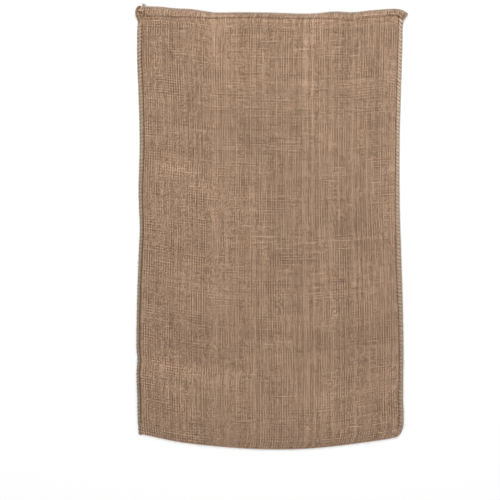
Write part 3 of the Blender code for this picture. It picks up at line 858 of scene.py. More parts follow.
def seam_yarn(seam, settings):
    """The yarn that overcasts one side."""
    side = seam.side
    random = np.random.default_rng(SEED + 10 + side)
    radius = settings.yarn_thickness * seam.yarn / 2
    pitch = stitch_pitch(side)
    numbers = np.arange(BODY_ROWS // 2 + seam.first, seam.last, -1)
    inset_jitter = random.normal(0, 0.05, len(numbers) + 1)
    inset_jitter += 0.04 * (-1) ** np.arange(len(numbers) + 1) * (side > 0)
    down_jitter = random.normal(0, 0.05, len(numbers) + 1)
    rows = []
    for n, number in enumerate(numbers):
        for station in STITCH:
            share = np.interp(station.down, seam.turns, seam.downs)
            grown = inset_jitter[n] * (1 - share) + inset_jitter[n + 1] * share
            slid = down_jitter[n] * (1 - share) + down_jitter[n + 1] * share
            up = BODY_START + (number - share - slid) * pitch
            rows.append((station.inset * (1 + grown), up, station.height, station.lift, station.grey))
    inset, up, height, lift, greys = np.array(rows).T
    inset = inset * (needle_at(seam.needle, "inset", up - LENGTH / 2) - STITCH_END)
    inside = np.maximum(inset, 0) / WIDTH
    middle = seam.strip / 2 / WIDTH
    if side > 0:
        inside, middle = 1 - inside, 1 - middle
    spots = Spots(inside, up / LENGTH)
    under, over = spots.faces()
    x = spots.drawn_in() - side * np.minimum(inset, 0)
    path = np.stack((x, spots.y, under + (over - under) * height + lift * YARN_FLAT * radius), -1)
    centre = np.stack((on_plan(middle, up / LENGTH)[0], spots.y, (under + over) / 2), -1)

    swell = np.repeat(1 + random.normal(0, 0.09, len(numbers)), len(STITCH))
    full = (1.0,) * (len(STITCH) - len(THIN_IN) - len(THIN_OUT))
    radii = radius * swell * np.tile(THIN_IN + full + THIN_OUT, len(numbers))
    radii[0] = radii[-1] = radius * 0.4
    dust = needle_at(seam.needle, "dust", spots.y)
    greys = np.clip(dust + (1 - dust) * greys + random.normal(0, 0.12, len(greys)), 0, 1)
    colour = settings.left_colour if side < 0 else settings.right_colour
    # Grey the yarn is painted with: painted shade where it rounds the edge, and greyer towards the
    # bottom.
    shade_grey = settings.shade_grey_colour if side < 0 else settings.pale_shade_grey_colour
    return strand_piece(seam.name, yarn(seam.name, colour, shade_grey), path, radii, 8,
                        outwards=path - centre, lowest=FLOOR_GAP, greys=greys, flat=YARN_FLAT)


# Yarn that runs up a side: how far in, as a share of the needle's row, how
# thick, and how far it waves at each stitch, in radii of the yarn.
Running = namedtuple("Running", "name seam inset thickness wave")

# The left one is brown thread in the needle holes; the right one is a dark strand that stands as
# painted shade between the cream loops and the cloth.
NEEDLE_THREAD_AND_SHADE = table(
    Running,
    ("left_needle_thread", SEAMS[0], 0.99, 0.0032, -0.3),
    ("right_needle_thread", SEAMS[1], 0.97, 0.0021, -1.1),
)
CORE_YARNS = table(
    Running,
    ("left_core_yarn", SEAMS[0], 0.5, 0.9, 0.1),
    ("right_core_yarn", SEAMS[1], 0.45, 0.6, 0.1),
)


def running_yarn(run, thickness, colour, random):
    """Yarn that runs up a side seam, in and out of the cloth at each stitch."""
    side = run.seam.side
    number = np.arange(BODY_ROWS // 2 + run.seam.first + 0.5, -1.0, -0.25)
    turn = number * 2 * math.pi
    up = BODY_START + number * stitch_pitch(side)
    inset = run.inset * needle_at(run.seam.needle, "inset", up - LENGTH / 2)
    inset = inset + random.normal(0, 0.0003, len(turn))
    spots = Spots(inset / WIDTH if side < 0 else 1 - inset / WIDTH, up / LENGTH)
    radius = thickness / 2
    top_skin = spots.outer_skin()[1][..., 2]
    from_end = np.minimum(np.arange(len(turn)), np.arange(len(turn))[::-1])
    sunk = 0.2 + 1.6 * (1 - ease(from_end, 4))
    z = top_skin + radius * (run.wave * np.cos(turn) - sunk) + random.normal(0, 0.0001, len(turn))
    radii = radius * (1 + random.normal(0, 0.10, len(turn)))
    path = np.stack((spots.x, spots.y, np.maximum(z, radii)), -1)
    return strand_piece(run.name, yarn(run.name, colour, colour), path, radii, 6, lowest=0.0002)


def running_yarns(settings):
    """Brown thread in the left row of needle holes, a dark strand as painted shade
    in the right row, and yarn under the stitches.
    """
    random = np.random.default_rng(SEED + 60)
    for run in NEEDLE_THREAD_AND_SHADE:
        running_yarn(run, run.thickness, settings.brown_thread_and_shade_colour, random)
    for run in CORE_YARNS:
        running_yarn(run, run.thickness * settings.yarn_thickness, settings.left_colour, random)


HEM_SEWN = (-0.284, 0.292)      # from one end of the hem's thread to the other
HEM_LINE = 0.490                # about where it runs


def hem_thread(settings):
    """The thread that holds the rolled hem, dipping in and out of the cloth."""
    count = int((HEM_SEWN[1] - HEM_SEWN[0]) / settings.stitch_length)
    x = np.linspace(*HEM_SEWN, count * 4 + 1)
    across, up = shares_at(x, np.full(len(x), HEM_LINE))
    for _ in range(3):
        hem = hem_width(on_plan(across, up)[0])
        up = 1 - hem / LENGTH
    spots = Spots(across, up)
    turn = np.arange(len(x)) * math.pi / 2
    radius = settings.thread_thickness / 2
    z = spots.front_over() + radius * (0.9 * np.cos(turn) - 0.5)
    y = spots.y + 0.0002 * np.sin(turn)
    path = np.stack((spots.x, y, z), -1)
    material = yarn("hem_thread", settings.colour, settings.colour)
    return strand_piece("hem_thread", material, path, np.full(len(x), radius), 6,
                        outwards=np.array((0.0, 1.0, 0.0)))


# Yarn at the left top corner, over the cloth: where it runs, how high in the
# cloth, from 0 under it to 1 on top, and its lift in radii of the yarn.
Lay = namedtuple("Lay", "x y height lift")

# Brown yarn drawn tight round the tip of the left corner. Its last strand, under
# the knot, is dark yarn that stands as painted shade of the groove there.
BROWN_LACING_AND_SHADE = [
    table(Lay, (-0.3096, 0.5142, 0.0, -0.3), (-0.3099, 0.5163, 0.0, -0.3),
          (-0.3101, 0.5179, 0.4, 0.0), (-0.3101, 0.5177, 0.95, 0.1), (-0.3094, 0.5158, 1.0, 0.9),
          (-0.3082, 0.5139, 1.0, 0.7), (-0.3068, 0.5123, 1.0, -0.9)),
    table(Lay, (-0.3078, 0.5142, 0.0, -0.3), (-0.3073, 0.5163, 0.0, -0.3),
          (-0.3071, 0.5179, 0.4, 0.0), (-0.3073, 0.5174, 0.95, 0.1), (-0.308, 0.5156, 1.0, 1.0),
          (-0.3089, 0.5137, 1.0, 0.7), (-0.3108, 0.5118, 1.0, 0.3), (-0.3127, 0.51, 1.0, -1.0)),
    table(Lay, (-0.3136, 0.51, 1.0, -1.0), (-0.3131, 0.5074, 1.0, 0.4),
          (-0.3113, 0.5048, 1.0, 0.9), (-0.3085, 0.5027, 1.0, 0.9), (-0.305, 0.5018, 1.0, 0.6),
          (-0.3017, 0.5023, 1.0, -1.0)),
]
# Cream yarn knotted over it.
CREAM_KNOT = [
    table(Lay, (-0.304, 0.5174, 1.0, -0.8), (-0.3045, 0.5149, 1.0, 0.6),
          (-0.3054, 0.5121, 1.0, 1.3), (-0.3071, 0.5102, 1.0, 1.7), (-0.3092, 0.509, 1.0, 1.4),
          (-0.311, 0.5076, 1.0, 0.3), (-0.3122, 0.506, 1.0, -0.9)),
    table(Lay, (-0.3012, 0.5093, 1.0, -0.8), (-0.3033, 0.5072, 1.0, 0.7),
          (-0.3059, 0.5062, 1.0, 1.4), (-0.3082, 0.5065, 1.0, 1.4), (-0.3103, 0.5076, 1.0, 0.8),
          (-0.3117, 0.5095, 1.0, -0.6)),
]
# Its end, which frays into the tuft.
LOOSE_END = [
    table(Lay, (-0.3047, 0.5104, 1.0, -0.6), (-0.3036, 0.513, 1.0, 0.8),
          (-0.3017, 0.516, 1.0, 0.9), (-0.2996, 0.5191, 0.9, 0.8)),
]


def laid_on_cloth(rows, radius, steps_each=6):
    """A smooth path through rows of Lay, over and round the cloth."""
    rows = smooth_path(rows, steps_each * (len(rows) - 1))
    x, y, height, lift = rows.T
    under, over = (skin[..., 2] for skin in Spots(*shares_at(x, y)).outer_skin())
    return np.stack((x, y, under + (over - under) * height + lift * radius), -1)


BELOW_TIE = 0.004       # the yarn of a tie winds round a point this far under it


def corner_tie(name, ties, radius, colour, shade_grey_colour):
    """Yarn wound or knotted round the end of the rolled hem in a corner."""
    mesh = bmesh.new()
    for rows in ties:
        path = laid_on_cloth(rows, radius)
        centre = np.mean(path, axis=0) - (0, 0, BELOW_TIE)
        radii = np.full(len(path), radius)
        radii[0] = radii[-1] = radius * 0.30
        strands(mesh, path, radii, 8, outwards=path - centre, lowest=FLOOR_GAP)
    return add_object(name, mesh, yarn(name, colour, shade_grey_colour), smooth_angle=80)


# Thick places of single threads that stand out on the face, where they lie
# and how long and thick they are. Turn 0 is a thread across the sack.
Slub = namedtuple("Slub", "x y turn length thickness")

SLUBS = table(
    Slub,
    (-0.0565, 0.0045, 0, 0.032, 0.0017), (-0.019, -0.0205, 0, 0.074, 0.0014),
    (-0.25, 0.144, 0, 0.02, 0.0015), (-0.209, 0.1385, -2, 0.03, 0.0015),
    (-0.1865, 0.129, 0, 0.048, 0.0013), (-0.185, 0.096, 0, 0.024, 0.0014),
    (-0.201, 0.47, 0, 0.034, 0.0013), (-0.211, 0.459, 0, 0.026, 0.0013),
    (-0.277, 0.433, 0, 0.036, 0.0013), (-0.214, 0.406, 2, 0.05, 0.0012),
    (0.242, 0.106, 5, 0.046, 0.0016), (0.179, 0.054, 0, 0.016, 0.0014),
    (0.194, -0.464, 3, 0.048, 0.0016), (0.256, -0.456, 14, 0.05, 0.0014),
    (0.156, 0.422, 0, 0.03, 0.0014), (0.276, 0.478, -4, 0.024, 0.0013),
    (0.076, 0.417, 0, 0.04, 0.0012), (0.196, 0.156, 90, 0.072, 0.0012),
    (0.236, 0.09, 90, 0.046, 0.0013), (-0.185, 0.416, 90, 0.046, 0.0012),
    (0.036, 0.298, 0, 0.046, 0.0013), (-0.09, 0.331, 0, 0.038, 0.0012),
    (0.119, -0.23, 0, 0.042, 0.0013), (-0.112, -0.182, 0, 0.044, 0.0013),
    (-0.223, -0.301, 0, 0.036, 0.0013), (0.021, -0.351, 0, 0.052, 0.0012),
)

# Dark knots and slivers of bark that stand out.
BARK = table(
    Slub,
    (-0.1722, 0.4903, 10, 0.004, 0.0024), (0.2847, 0.4954, -20, 0.0036, 0.002),
    (0.2928, 0.5036, -35, 0.0042, 0.0018), (0.3101, 0.4986, 80, 0.0034, 0.0018),
    (-0.2538, 0.4576, 0, 0.003, 0.0015), (-0.2045, 0.412, 0, 0.0026, 0.0013),
    (0.233, 0.09, 90, 0.0034, 0.0013), (0.2445, -0.465, 0, 0.0036, 0.0015),
    (-0.277, 0.114, 90, 0.003, 0.0013), (-0.0858, -0.03, 90, 0.009, 0.0014),
    (-0.047, -0.086, 20, 0.0034, 0.0014), (0.0303, 0.0228, 90, 0.004, 0.0012),
    (0.0273, -0.079, 45, 0.0042, 0.0014), (-0.289, 0.4965, 0, 0.0036, 0.0012),
)
LOOSE_SLUBS = 120       # others, at random
LOOSE_BARK = 230
LOOSE_X, LOOSE_Y = (-0.285, 0.285), (-0.475, 0.470)     # where they may lie


def spindles(name, rows, sink, material, random):
    """Tapering strands along the threads, sunk into the face by a share."""
    share = np.linspace(-1, 1, 11)
    paths, radii = [], []
    for row in rows:
        turn = math.radians(row.turn)
        wave = 0.00035 * np.sin(share * random.uniform(2, 5) + random.uniform(0, 6))
        wave = wave * min(1.0, row.length / 0.02)
        reach = share * row.length / 2
        x = row.x + reach * math.cos(turn) - wave * math.sin(turn)
        y = row.y + reach * math.sin(turn) + wave * math.cos(turn)
        spots = Spots(*shares_at(x, y))
        taper = 0.10 + 0.90 * np.cos(share * math.pi / 2) ** 0.7
        radius = row.thickness / 2 * taper * (1 + 0.14 * np.sin(share * 8 + row.x * 100))
        top = spots.outer_skin()[1][..., 2]
        paths.append(np.stack((spots.x, spots.y, top - sink * row.thickness / 2), -1))
        radii.append(radius)
    return strand_piece(name, material, np.array(paths), np.array(radii), 6)


def loose_places(random, count, length, thickness, crosswise):
    """Rows of a table of threads or slivers, at random on the face."""
    for _ in range(count):
        turn = 0 if random.random() < crosswise else 90
        yield Slub(
            random.uniform(*LOOSE_X), random.uniform(*LOOSE_Y), turn + random.normal(0, 1.0),
            random.uniform(*length), random.uniform(*thickness),
        )


def slubs(settings):
    """Thick, pale places of the threads, raised a little on the face."""
    random = np.random.default_rng(SEED + 20)
    loose = loose_places(
        random, LOOSE_SLUBS, length=(0.018, 0.060), thickness=(0.0006, 0.0011), crosswise=0.65)
    material = raw_fibre("thread_slubs", settings.slub_colour)
    return spindles("thread_slubs", SLUBS + list(loose), 0.35, material, random)


def bark(settings):
    """Dark slivers of bark that stick in the threads."""
    random = np.random.default_rng(SEED + 30)
    loose = loose_places(
        random, LOOSE_BARK, length=(0.0012, 0.0044), thickness=(0.0006, 0.0012), crosswise=0.5)
    material = raw_fibre("bark_slivers", settings.bark_colour)
    return spindles("bark_slivers", BARK + list(loose), 0.1, material, random)


def fibre_paths(starts, headings, lengths, random, rings=5):
    """Loose fibres that leave the cloth at a shallow angle and curl."""
    count = len(starts)
    share = np.linspace(0, 1, rings)
    curl = random.normal(0, 1.1, count)
    climb = random.uniform(0.05, 0.42, count)
    droop = random.uniform(0.2, 1.0, count) * climb
    heading = headings[:, None] + curl[:, None] * share
    step = lengths[:, None] / (rings - 1)
    x = np.cumsum(np.cos(heading) * step, axis=1) - np.cos(heading[:, :1]) * step
    y = np.cumsum(np.sin(heading) * step, axis=1) - np.sin(heading[:, :1]) * step
    z = lengths[:, None] * (climb[:, None] * share - droop[:, None] * share ** 2)
    return starts[:, None, :] + np.stack((x, y, z), -1)


FROM_EDGE = 0.30        # share of the loose fibres that leave an edge or the mouth
FIBRE_TAPER = (1, 1, 0.9, 0.7, 0.35)
FIBRE_GAP = 0.0001      # the lowest fibre lies this far over the floor


def loose_fibres(settings):
    """Fine fibres that stand off the face, the edges and the hem."""
    random = np.random.default_rng(SEED + 40)
    count = settings.count
    across = random.uniform(0.004, 0.996, count)
    up = random.uniform(0.004, 0.998, count)
    heading = random.uniform(0, 2 * math.pi, count)
    edge = random.random(count) < FROM_EDGE
    which = random.integers(0, 4, count)
    across = np.where(edge & (which == 0), 0.002, across)
    across = np.where(edge & (which == 1), 0.998, across)
    up = np.where(edge & (which == 2), 0.999, up)
    up = np.where(edge & (which == 3), 0.001, up)
    outward = np.array([math.pi, 0, math.pi / 2, -math.pi / 2])[which]
    heading = np.where(edge, outward + random.normal(0, 0.6, count), heading)
    spots = Spots(across, up)
    over = np.where(spots.in_pocket < 0, spots.strip()[1], spots.front_over())
    z = np.where(edge, over * 0.6, over - 0.0001)
    lengths = random.gamma(4, settings.length / 4, count)
    lengths = np.clip(lengths, 0.002, 0.016) * np.where(edge, 0.75, 1)
    paths = fibre_paths(np.stack((spots.x, spots.y, z), -1), heading, lengths, random)
    thick = settings.thickness / 2 * random.uniform(0.6, 1.3, count)
    return strand_piece("loose_fibres", raw_fibre("loose_fibres", settings.colour), paths,
                        thick[:, None] * FIBRE_TAPER, 3, smooth_angle=180, lowest=FIBRE_GAP)


TUFT_FIBRES = 70
TUFT_START = (-0.3000, 0.5184, 0.0090)
TUFT_HEADING = 58       # degrees from +X
TUFT_TAPER = (1, 1, 0.9, 0.7, 0.4)


def corner_tuft(settings):
    """The frayed end of the knotted yarn at the left corner."""
    random = np.random.default_rng(SEED + 50)
    starts = TUFT_START + random.normal(0, 0.0010, (TUFT_FIBRES, 3))
    headings = random.normal(math.radians(TUFT_HEADING), 0.55, TUFT_FIBRES)
    paths = fibre_paths(starts, headings, random.uniform(0.003, 0.0085, TUFT_FIBRES), random)
    radii = random.uniform(0.00012, 0.00026, TUFT_FIBRES)[:, None] * TUFT_TAPER
    return strand_piece("corner_tuft", raw_fibre("corner_tuft", settings.tuft_colour), paths, radii, 3,
                        smooth_angle=180, lowest=FIBRE_GAP)


# --- Materials ---
# How unlike the threads are. Tones run from 0, dark, to 1, pale.
TONE_MIDDLE = 0.475     # of the usual thread
TONE_GAIN = 1.50        # how strongly all of these differences show
QUICK_TONE = 0.60       # a thread's changes along its length
PAIR_MEAN = 0.14        # every other warp thread is paler
PAIR_PATCHES = 1.20     # more so in some places
WEFT_PATCHES = 0.45     # the same in the weft
CHECK_MEAN = 0.16       # warp floats are paler than weft floats
CHECK_PATCHES = 0.75    # more so in some places
OWN_TONE = 0.50         # each float's own
WEFT_TONE = 0.55        # the weft threads differ less than those of the warp
FIBRE_TONE = 0.30       # the fibres of a thread
FLECKED = 0.97          # all floats but this share have a fleck

# The holes between four threads, and the painted shade in and beside them.
# Sizes are shares of the pitch.
HOLE_LEAST = 0.01       # how far a hole narrows the threads round it
HOLE_MORE = 0.28        # the same at the widest hole
HOLE_POWER = 2.0        # wide holes are rarer than narrow ones
SHADED_BELOW = 0.6      # height, as a share of the relief, up to which a gap is dark
BLACK_BELOW = 0.22      # and up to which it is black
GAP_LEAST = 0.25        # darkness of the shallowest gap
BLACK_LEAST = 0.55

FIBRE_RELIEF = 0.16     # height of the fibres as a share of the threads'
BUMP = 0.7
SHEEN = 0.12

# Soft patterns of the cloth: lumps to the metre across and along it.
Pattern = namedtuple("Pattern", "across along seed detail")

DRIFT_X, SHAKE_X = Pattern(3.0, 3.0, 1.0, 0.0), Pattern(60.0, 24.0, 2.0, 0.0)
DRIFT_Y, SHAKE_Y = Pattern(3.0, 3.0, 3.0, 0.0), Pattern(24.0, 60.0, 4.0, 0.0)
WARP_PAIRS = Pattern(18.0, 30.0, 11.0, 1.0)
WEFT_PAIRS = Pattern(12.0, 26.0, 37.0, 1.0)
CHECKS = Pattern(32.0, 34.0, 61.0, 1.0)
PATCHES = Pattern(9.0, 6.0, 71.0, 2.0)
HUES = Pattern(16.0, 12.0, 77.0, 1.0)

# How the two sets of threads differ: seed, looseness, mean height and wave.
Threads = namedtuple("Threads", "seed loose height wave")

WARP = Threads(11.0, 0.42, 0.62, 0.38)
WEFT = Threads(37.0, 0.50, 0.56, 0.44)


class Value:
    """A number that a node gives, so that sums of numbers read as sums."""

    def __init__(self, tree, socket):
        self.tree = tree
        self.socket = socket

    def math(self, operation, *others):
        node = self.tree.nodes.new("ShaderNodeMath")
        node.operation = operation
        for slot, value in zip(node.inputs, (self, *others)):
            plug(self.tree, slot, value)
        return Value(self.tree, node.outputs[0])

    def __rsub__(self, other):
        return (self * -1.0).math("ADD", other)

    __add__ = __radd__ = partialmethod(math, "ADD")
    __mul__ = __rmul__ = partialmethod(math, "MULTIPLY")
    __sub__ = partialmethod(math, "SUBTRACT")
    __truediv__ = partialmethod(math, "DIVIDE")
    __pow__ = partialmethod(math, "POWER")
    __gt__ = partialmethod(math, "GREATER_THAN")

    def clamp(self):
        return self.math("MAXIMUM", 0.0).math("MINIMUM", 1.0)

    def swing(self):
        """From 1 at whole numbers, through 0, to -1 halfway between them."""
        return (self * (2.0 * math.pi)).math("COSINE")

    def between(self, low, high):
        """0 below low and 1 above high, with a soft climb from one to the other."""
        node = self.tree.nodes.new("ShaderNodeMapRange")
        node.interpolation_type = "SMOOTHSTEP"
        plug(self.tree, node.inputs["Value"], self)
        node.inputs["From Min"].default_value = low
        node.inputs["From Max"].default_value = high
        return Value(self.tree, node.outputs[0])


def plug(tree, slot, value):
    """Link a socket to a value, or set it to a number or colour."""
    if isinstance(value, Value):
        tree.links.new(value.socket, slot)
    else:
        slot.default_value = value


class Finish:
    """A material that is being written."""

    def __init__(self, name):
        self.material = bpy.data.materials.new(name)
        self.material.use_nodes = True
        self.tree = self.material.node_tree
        self.shader = self.tree.nodes["Principled BSDF"]

    def node(self, kind, settings, sockets, output=0):
        """One node: its settings first, then the values or links of its sockets."""
        node = self.tree.nodes.new("ShaderNode" + kind)
        for name, value in settings.items():
            setattr(node, name, value)
        for name, value in sockets.items():
            plug(self.tree, node.inputs[name], value)
        if isinstance(output, tuple):
            return [Value(self.tree, node.outputs[n]) for n in output]
        return Value(self.tree, node.outputs[output])

    def flat_place(self):
        """Place on the piece's own UV map, in metres."""
        uv = self.node("TexCoord", {}, {}, "UV")
        return self.node("SeparateXYZ", {}, {"Vector": uv}, (0, 1))

    def attribute(self, name):
        """A number that the mesh holds at each vertex."""
        return self.node("Attribute", {"attribute_name": name}, {}, "Fac")

    def noise(self, x, y, seed, detail=0.0):
        """Soft noise about 0, one unit to a lump."""
        place = self.node("CombineXYZ", {}, {"X": x, "Y": y, "Z": seed})
        sockets = {"Vector": place, "Scale": 1.0, "Detail": detail, "Roughness": 0.55}
        return self.node("TexNoise", {"noise_dimensions": "3D"}, sockets) - 0.5

    def lumps(self, pattern, x, y):
        return self.noise(x * pattern.across, y * pattern.along, pattern.seed, pattern.detail)

    def lot(self, number, seed):
        """A number from 0 to 1 drawn for each whole number."""
        return self.node("TexWhiteNoise", {"noise_dimensions": "1D"}, {"W": number + seed})

    def lot_at(self, column, row, seed):
        """A number from 0 to 1 drawn for each crossing of two threads."""
        place = self.node("CombineXYZ", {}, {"X": column, "Y": row, "Z": seed})
        return self.node("TexWhiteNoise", {"noise_dimensions": "3D"}, {"Vector": place})

    def blend(self, share, one, other):
        """A colour that goes from one to other with a share."""
        one, other = (
            colour if isinstance(colour, Value) else (*colour, 1.0) for colour in (one, other))
        # sockets 6 and 7 are the node's two colours and 2 is the one it gives
        return self.node("Mix", {"data_type": "RGBA"}, {0: share, 6: one, 7: other}, 2)

    def shaded(self, colour, share):
        """A colour made darker or lighter by a share."""
        return self.node("VectorMath", {"operation": "SCALE"}, {0: colour, "Scale": share})

    def bump(self, height, distance, strength):
        sockets = {"Height": height, "Distance": distance, "Strength": strength}
        return self.node("Bump", {}, sockets)

    def done(self, colour, roughness, normal=None, sheen=0.0):
        values = {
            "Base Color": colour, "Roughness": roughness, "Metallic": 0.0,
            "Specular IOR Level": 0.25, "Sheen Weight": sheen, "Sheen Roughness": 0.6,
        }
        if normal is not None:
            values["Normal"] = normal
        for name, value in values.items():
            plug(self.tree, self.shader.inputs[name], value)
        return self.material


def thread_set(finish, threads, place, run, pitch):
    """One set of parallel threads, warp or weft.

    place counts across them and run goes along them, both in metres. Returns
    each thread's number, its half width, its tone and the count itself.
    """
    seed = threads.seed
    count = place / pitch + 0.08 * finish.noise(place * 90.0, run * 120.0, seed + 13.0, 1.0)
    number = count.math("FLOOR")
    drawn = finish.lot(number, seed) - 0.5
    slow = finish.noise(number * 3.7, run * 16.0, seed, 1.0)
    quick = finish.noise(number * 5.3, run * 210.0, seed + 5.0, 1.0)
    thick = finish.noise(number * 7.9, run * 30.0, seed + 9.0).between(0.24, 0.38)
    half_width = 0.41 + threads.loose * slow + 0.36 * quick + 0.07 * drawn + 0.08 * thick
    tone = 0.28 * drawn + 0.32 * slow + QUICK_TONE * quick + 0.30 * thick
    return number, half_width, tone, count


def rounded(count, half_width):
    """A thread's rounded top, 1 in its middle and 0 at its edges."""
    off = count.math("FRACT") - 0.5
    return (1.0 - (off / half_width) ** 2.0).clamp()


def jute_cloth(settings):
    """Plain-woven jute: uneven threads, holes, fibres and drawn-in lines."""
    finish = Finish("jute_cloth")
    x, y = finish.flat_place()
    warp_x = x + 0.006 * finish.lumps(DRIFT_X, x, y) + 0.0008 * finish.lumps(SHAKE_X, x, y)
    weft_y = y + 0.008 * finish.lumps(DRIFT_Y, x, y) + 0.0008 * finish.lumps(SHAKE_Y, x, y)
    warp, warp_half, warp_tone, warp_count = thread_set(finish, WARP, warp_x, y, settings.warp_pitch)
    weft, weft_half, weft_tone, weft_count = thread_set(finish, WEFT, weft_y, x, settings.weft_pitch)

    # The hole between four threads has its own size and depth, and narrows them there.
    # Its depth sets how dark the painted shade in it is.
    column, row = (warp_count + 0.5).math("FLOOR"), (weft_count + 0.5).math("FLOOR")
    wide, high, depth = (finish.lot_at(column, row, seed) for seed in (18.0, 19.0, 8.0))
    at_column, at_row = (0.5 + 0.5 * count.swing() for count in (warp_count, weft_count))
    warp_half = warp_half - at_row * (HOLE_LEAST + HOLE_MORE * wide ** HOLE_POWER)
    weft_half = weft_half - at_column * (HOLE_LEAST + HOLE_MORE * high ** HOLE_POWER)
    warp_round, weft_round = rounded(warp_count, warp_half), rounded(weft_count, weft_half)

    # Over and under: each crossing lifts one thread and presses the other.
    warp_sign, weft_sign = (warp * 0.5).swing(), (weft * 0.5).swing()
    along_warp = ((weft_count - 0.5) * 0.5).swing() * warp_sign
    along_weft = ((warp_count - 0.5) * 0.5).swing() * weft_sign
    warp_height = warp_round ** 0.5 * (WARP.height + WARP.wave * along_warp)
    weft_height = weft_round ** 0.5 * (WEFT.height - WEFT.wave * along_weft)
    height = warp_height.math("MAXIMUM", weft_height)
    warp_shows = (warp_height - weft_height).between(-0.06, 0.06)

    # Pale threads tend to lie next to dark ones, and each float has its own tone.
    warp_tone = warp_tone + warp_sign * (PAIR_MEAN + PAIR_PATCHES * finish.lumps(WARP_PAIRS, x, y))
    weft_tone = WEFT_TONE * weft_tone + weft_sign * (WEFT_PATCHES * finish.lumps(WEFT_PAIRS, x, y))
    floats = CHECK_MEAN + CHECK_PATCHES * finish.lumps(CHECKS, x, y)
    floats = floats + OWN_TONE * (finish.lot_at(warp, weft, 23.0) - 0.5)
    warp_tone = warp_tone + floats * (0.35 + 0.65 * along_warp)
    weft_tone = weft_tone - floats * (0.35 - 0.65 * along_weft)

    # Fibres wind round each thread, and a few floats have a dark fleck.
    warp_fibres = finish.noise(x * 2400.0 + y * 900.0, y * 300.0, 51.0, 2.0)
    weft_fibres = finish.noise(x * 300.0, y * 2400.0 - x * 900.0, 57.0, 2.0)
    fibres = warp_shows * warp_fibres + (1.0 - warp_shows) * weft_fibres
    tone = warp_shows * warp_tone + (1.0 - warp_shows) * weft_tone
    flecks = (finish.lot_at(warp, weft, 15.0) > FLECKED) * fibres.between(0.02, 0.14)

    pale = finish.blend(
        (0.5 + 1.2 * finish.lumps(HUES, x, y)).clamp(), settings.thread_colour, settings.warm_colour)
    share = (TONE_MIDDLE + TONE_GAIN * tone + FIBRE_TONE * fibres).clamp()
    colour = finish.blend(share, settings.dark_colour, pale)

    # What the mesh says of its places, and the painted shade between the threads.
    hem, line, needle_left, needle_right, worn, rim = (
        finish.attribute(name)
        for name in ("hem", "line", "needle_left", "needle_right", "worn", "rim"))
    patches = 1.0 + 0.30 * finish.lumps(PATCHES, x, y)
    shaded = 1.0 - height.between(0.0, SHADED_BELOW)
    black = 1.0 - height.between(0.0, BLACK_BELOW)
    gap_shade = shaded * (GAP_LEAST + (1.0 - GAP_LEAST) * depth)
    gap_shade = gap_shade.math("MAXIMUM", black * (BLACK_LEAST + (1.0 - BLACK_LEAST) * depth))
    # Patchy tone, painted light and shade on the folds with the cloth's own tone, and the paler hem.
    colour = finish.shaded(colour, (patches + worn) * (1.0 + 0.26 * hem))
    # Over it: grey painted shade along the edges, painted shade in the holes, bark flecks, painted
    # shade in the hem's groove and the creases, the brown band of the left row of needle holes, darker
    # at each hole, and painted shade in the right row.
    for amount, over in (
        (rim * 0.75, settings.rim_shade_colour),
        (gap_shade, settings.gap_shade_colour),
        (flecks * 0.7, settings.fleck_colour),
        (line, settings.groove_shade_colour),
        (needle_left * 0.92, settings.needle_colour),
        (needle_right * 0.22, settings.groove_shade_colour),
    ):
        colour = finish.blend(amount, colour, over)
    normal = finish.bump(height + FIBRE_RELIEF * fibres, settings.relief, BUMP)
    return finish.done(colour, 0.86 + 0.10 * fibres, normal, SHEEN)


PLY_TURN = 0.0056       # length of one turn of a yarn's two plies
PLY_SHADE = (0.55, 0.48, 0.42)  # a yarn's colour deep between its fibres


def yarn(name, colour, shade_grey_colour):
    """Two-ply jute yarn: plies that wind round each other, fibres, soft tone."""
    finish = Finish(name)
    around, along = finish.flat_place()
    ply = 0.5 + 0.5 * (2.0 * around + along / PLY_TURN).swing()
    fibres = finish.noise(around * 16.0 + along * 700.0, along * 260.0, 5.0, 2.0)
    slow = finish.noise(around * 0.5, along * 55.0, 9.0, 1.0)
    # Painted shade in the groove between the plies and deep between the fibres, with the fibres' own
    # tone and a slow one; the grey attribute blends in the greyer colour, painted shade where a seam's
    # yarn rounds the edge.
    light = (0.74 + 0.26 * ply ** 0.6) * (1.0 + 0.60 * fibres) * (1.0 + 0.45 * slow)
    dark = [share * part for share, part in zip(PLY_SHADE, colour)]
    base = finish.blend((0.8 + 1.3 * fibres).clamp(), dark, colour)
    base = finish.blend(finish.attribute("grey"), base, shade_grey_colour)
    normal = finish.bump(ply ** 0.5 + 0.25 * fibres, 0.0004, 0.8)
    return finish.done(finish.shaded(base, light), 0.85 + 0.10 * fibres, normal, SHEEN)


def raw_fibre(name, colour):
    """Fibres that lie side by side, unspun: fine streaks along their length."""
    finish = Finish(name)
    around, along = finish.flat_place()
    streaks = finish.noise(around * 9.0, along * 120.0, 5.0, 2.0)
    tone = finish.noise(around * 0.3, along * 40.0, 9.0)
    light = 1.0 + 0.55 * streaks + 0.30 * tone
    return finish.done(finish.shaded(colour, light), 0.88 + 0.08 * streaks)


def floor_material(colour):
    """Plain pale paper under the sack."""
    finish = Finish("pale_floor")
    place = finish.node("TexCoord", {}, {}, "Object")
    x, y = finish.node("SeparateXYZ", {}, {"Vector": place}, (0, 1))
    grain = finish.noise(x * 600.0, y * 600.0, 3.0, 1.0)
    tint = finish.shaded(colour, 1.0 + 0.01 * grain)
    return finish.done(tint, 0.9 + 0.05 * grain, finish.bump(grain, 0.0001, 0.1))


# --- Stage: camera, lights and floor ---
# The photograph's frame is a square on the floor, seen from straight above.
VIEW_SIDE = 1.1667
VIEW_CENTRE = (-0.0509, -0.0520)
CAMERA_HEIGHT = 3.60
FACE_HEIGHT = 0.012     # the frame is as wide as VIEW_SIDE at this height
SENSOR = 36.0
FAR_CLIP = 50.0

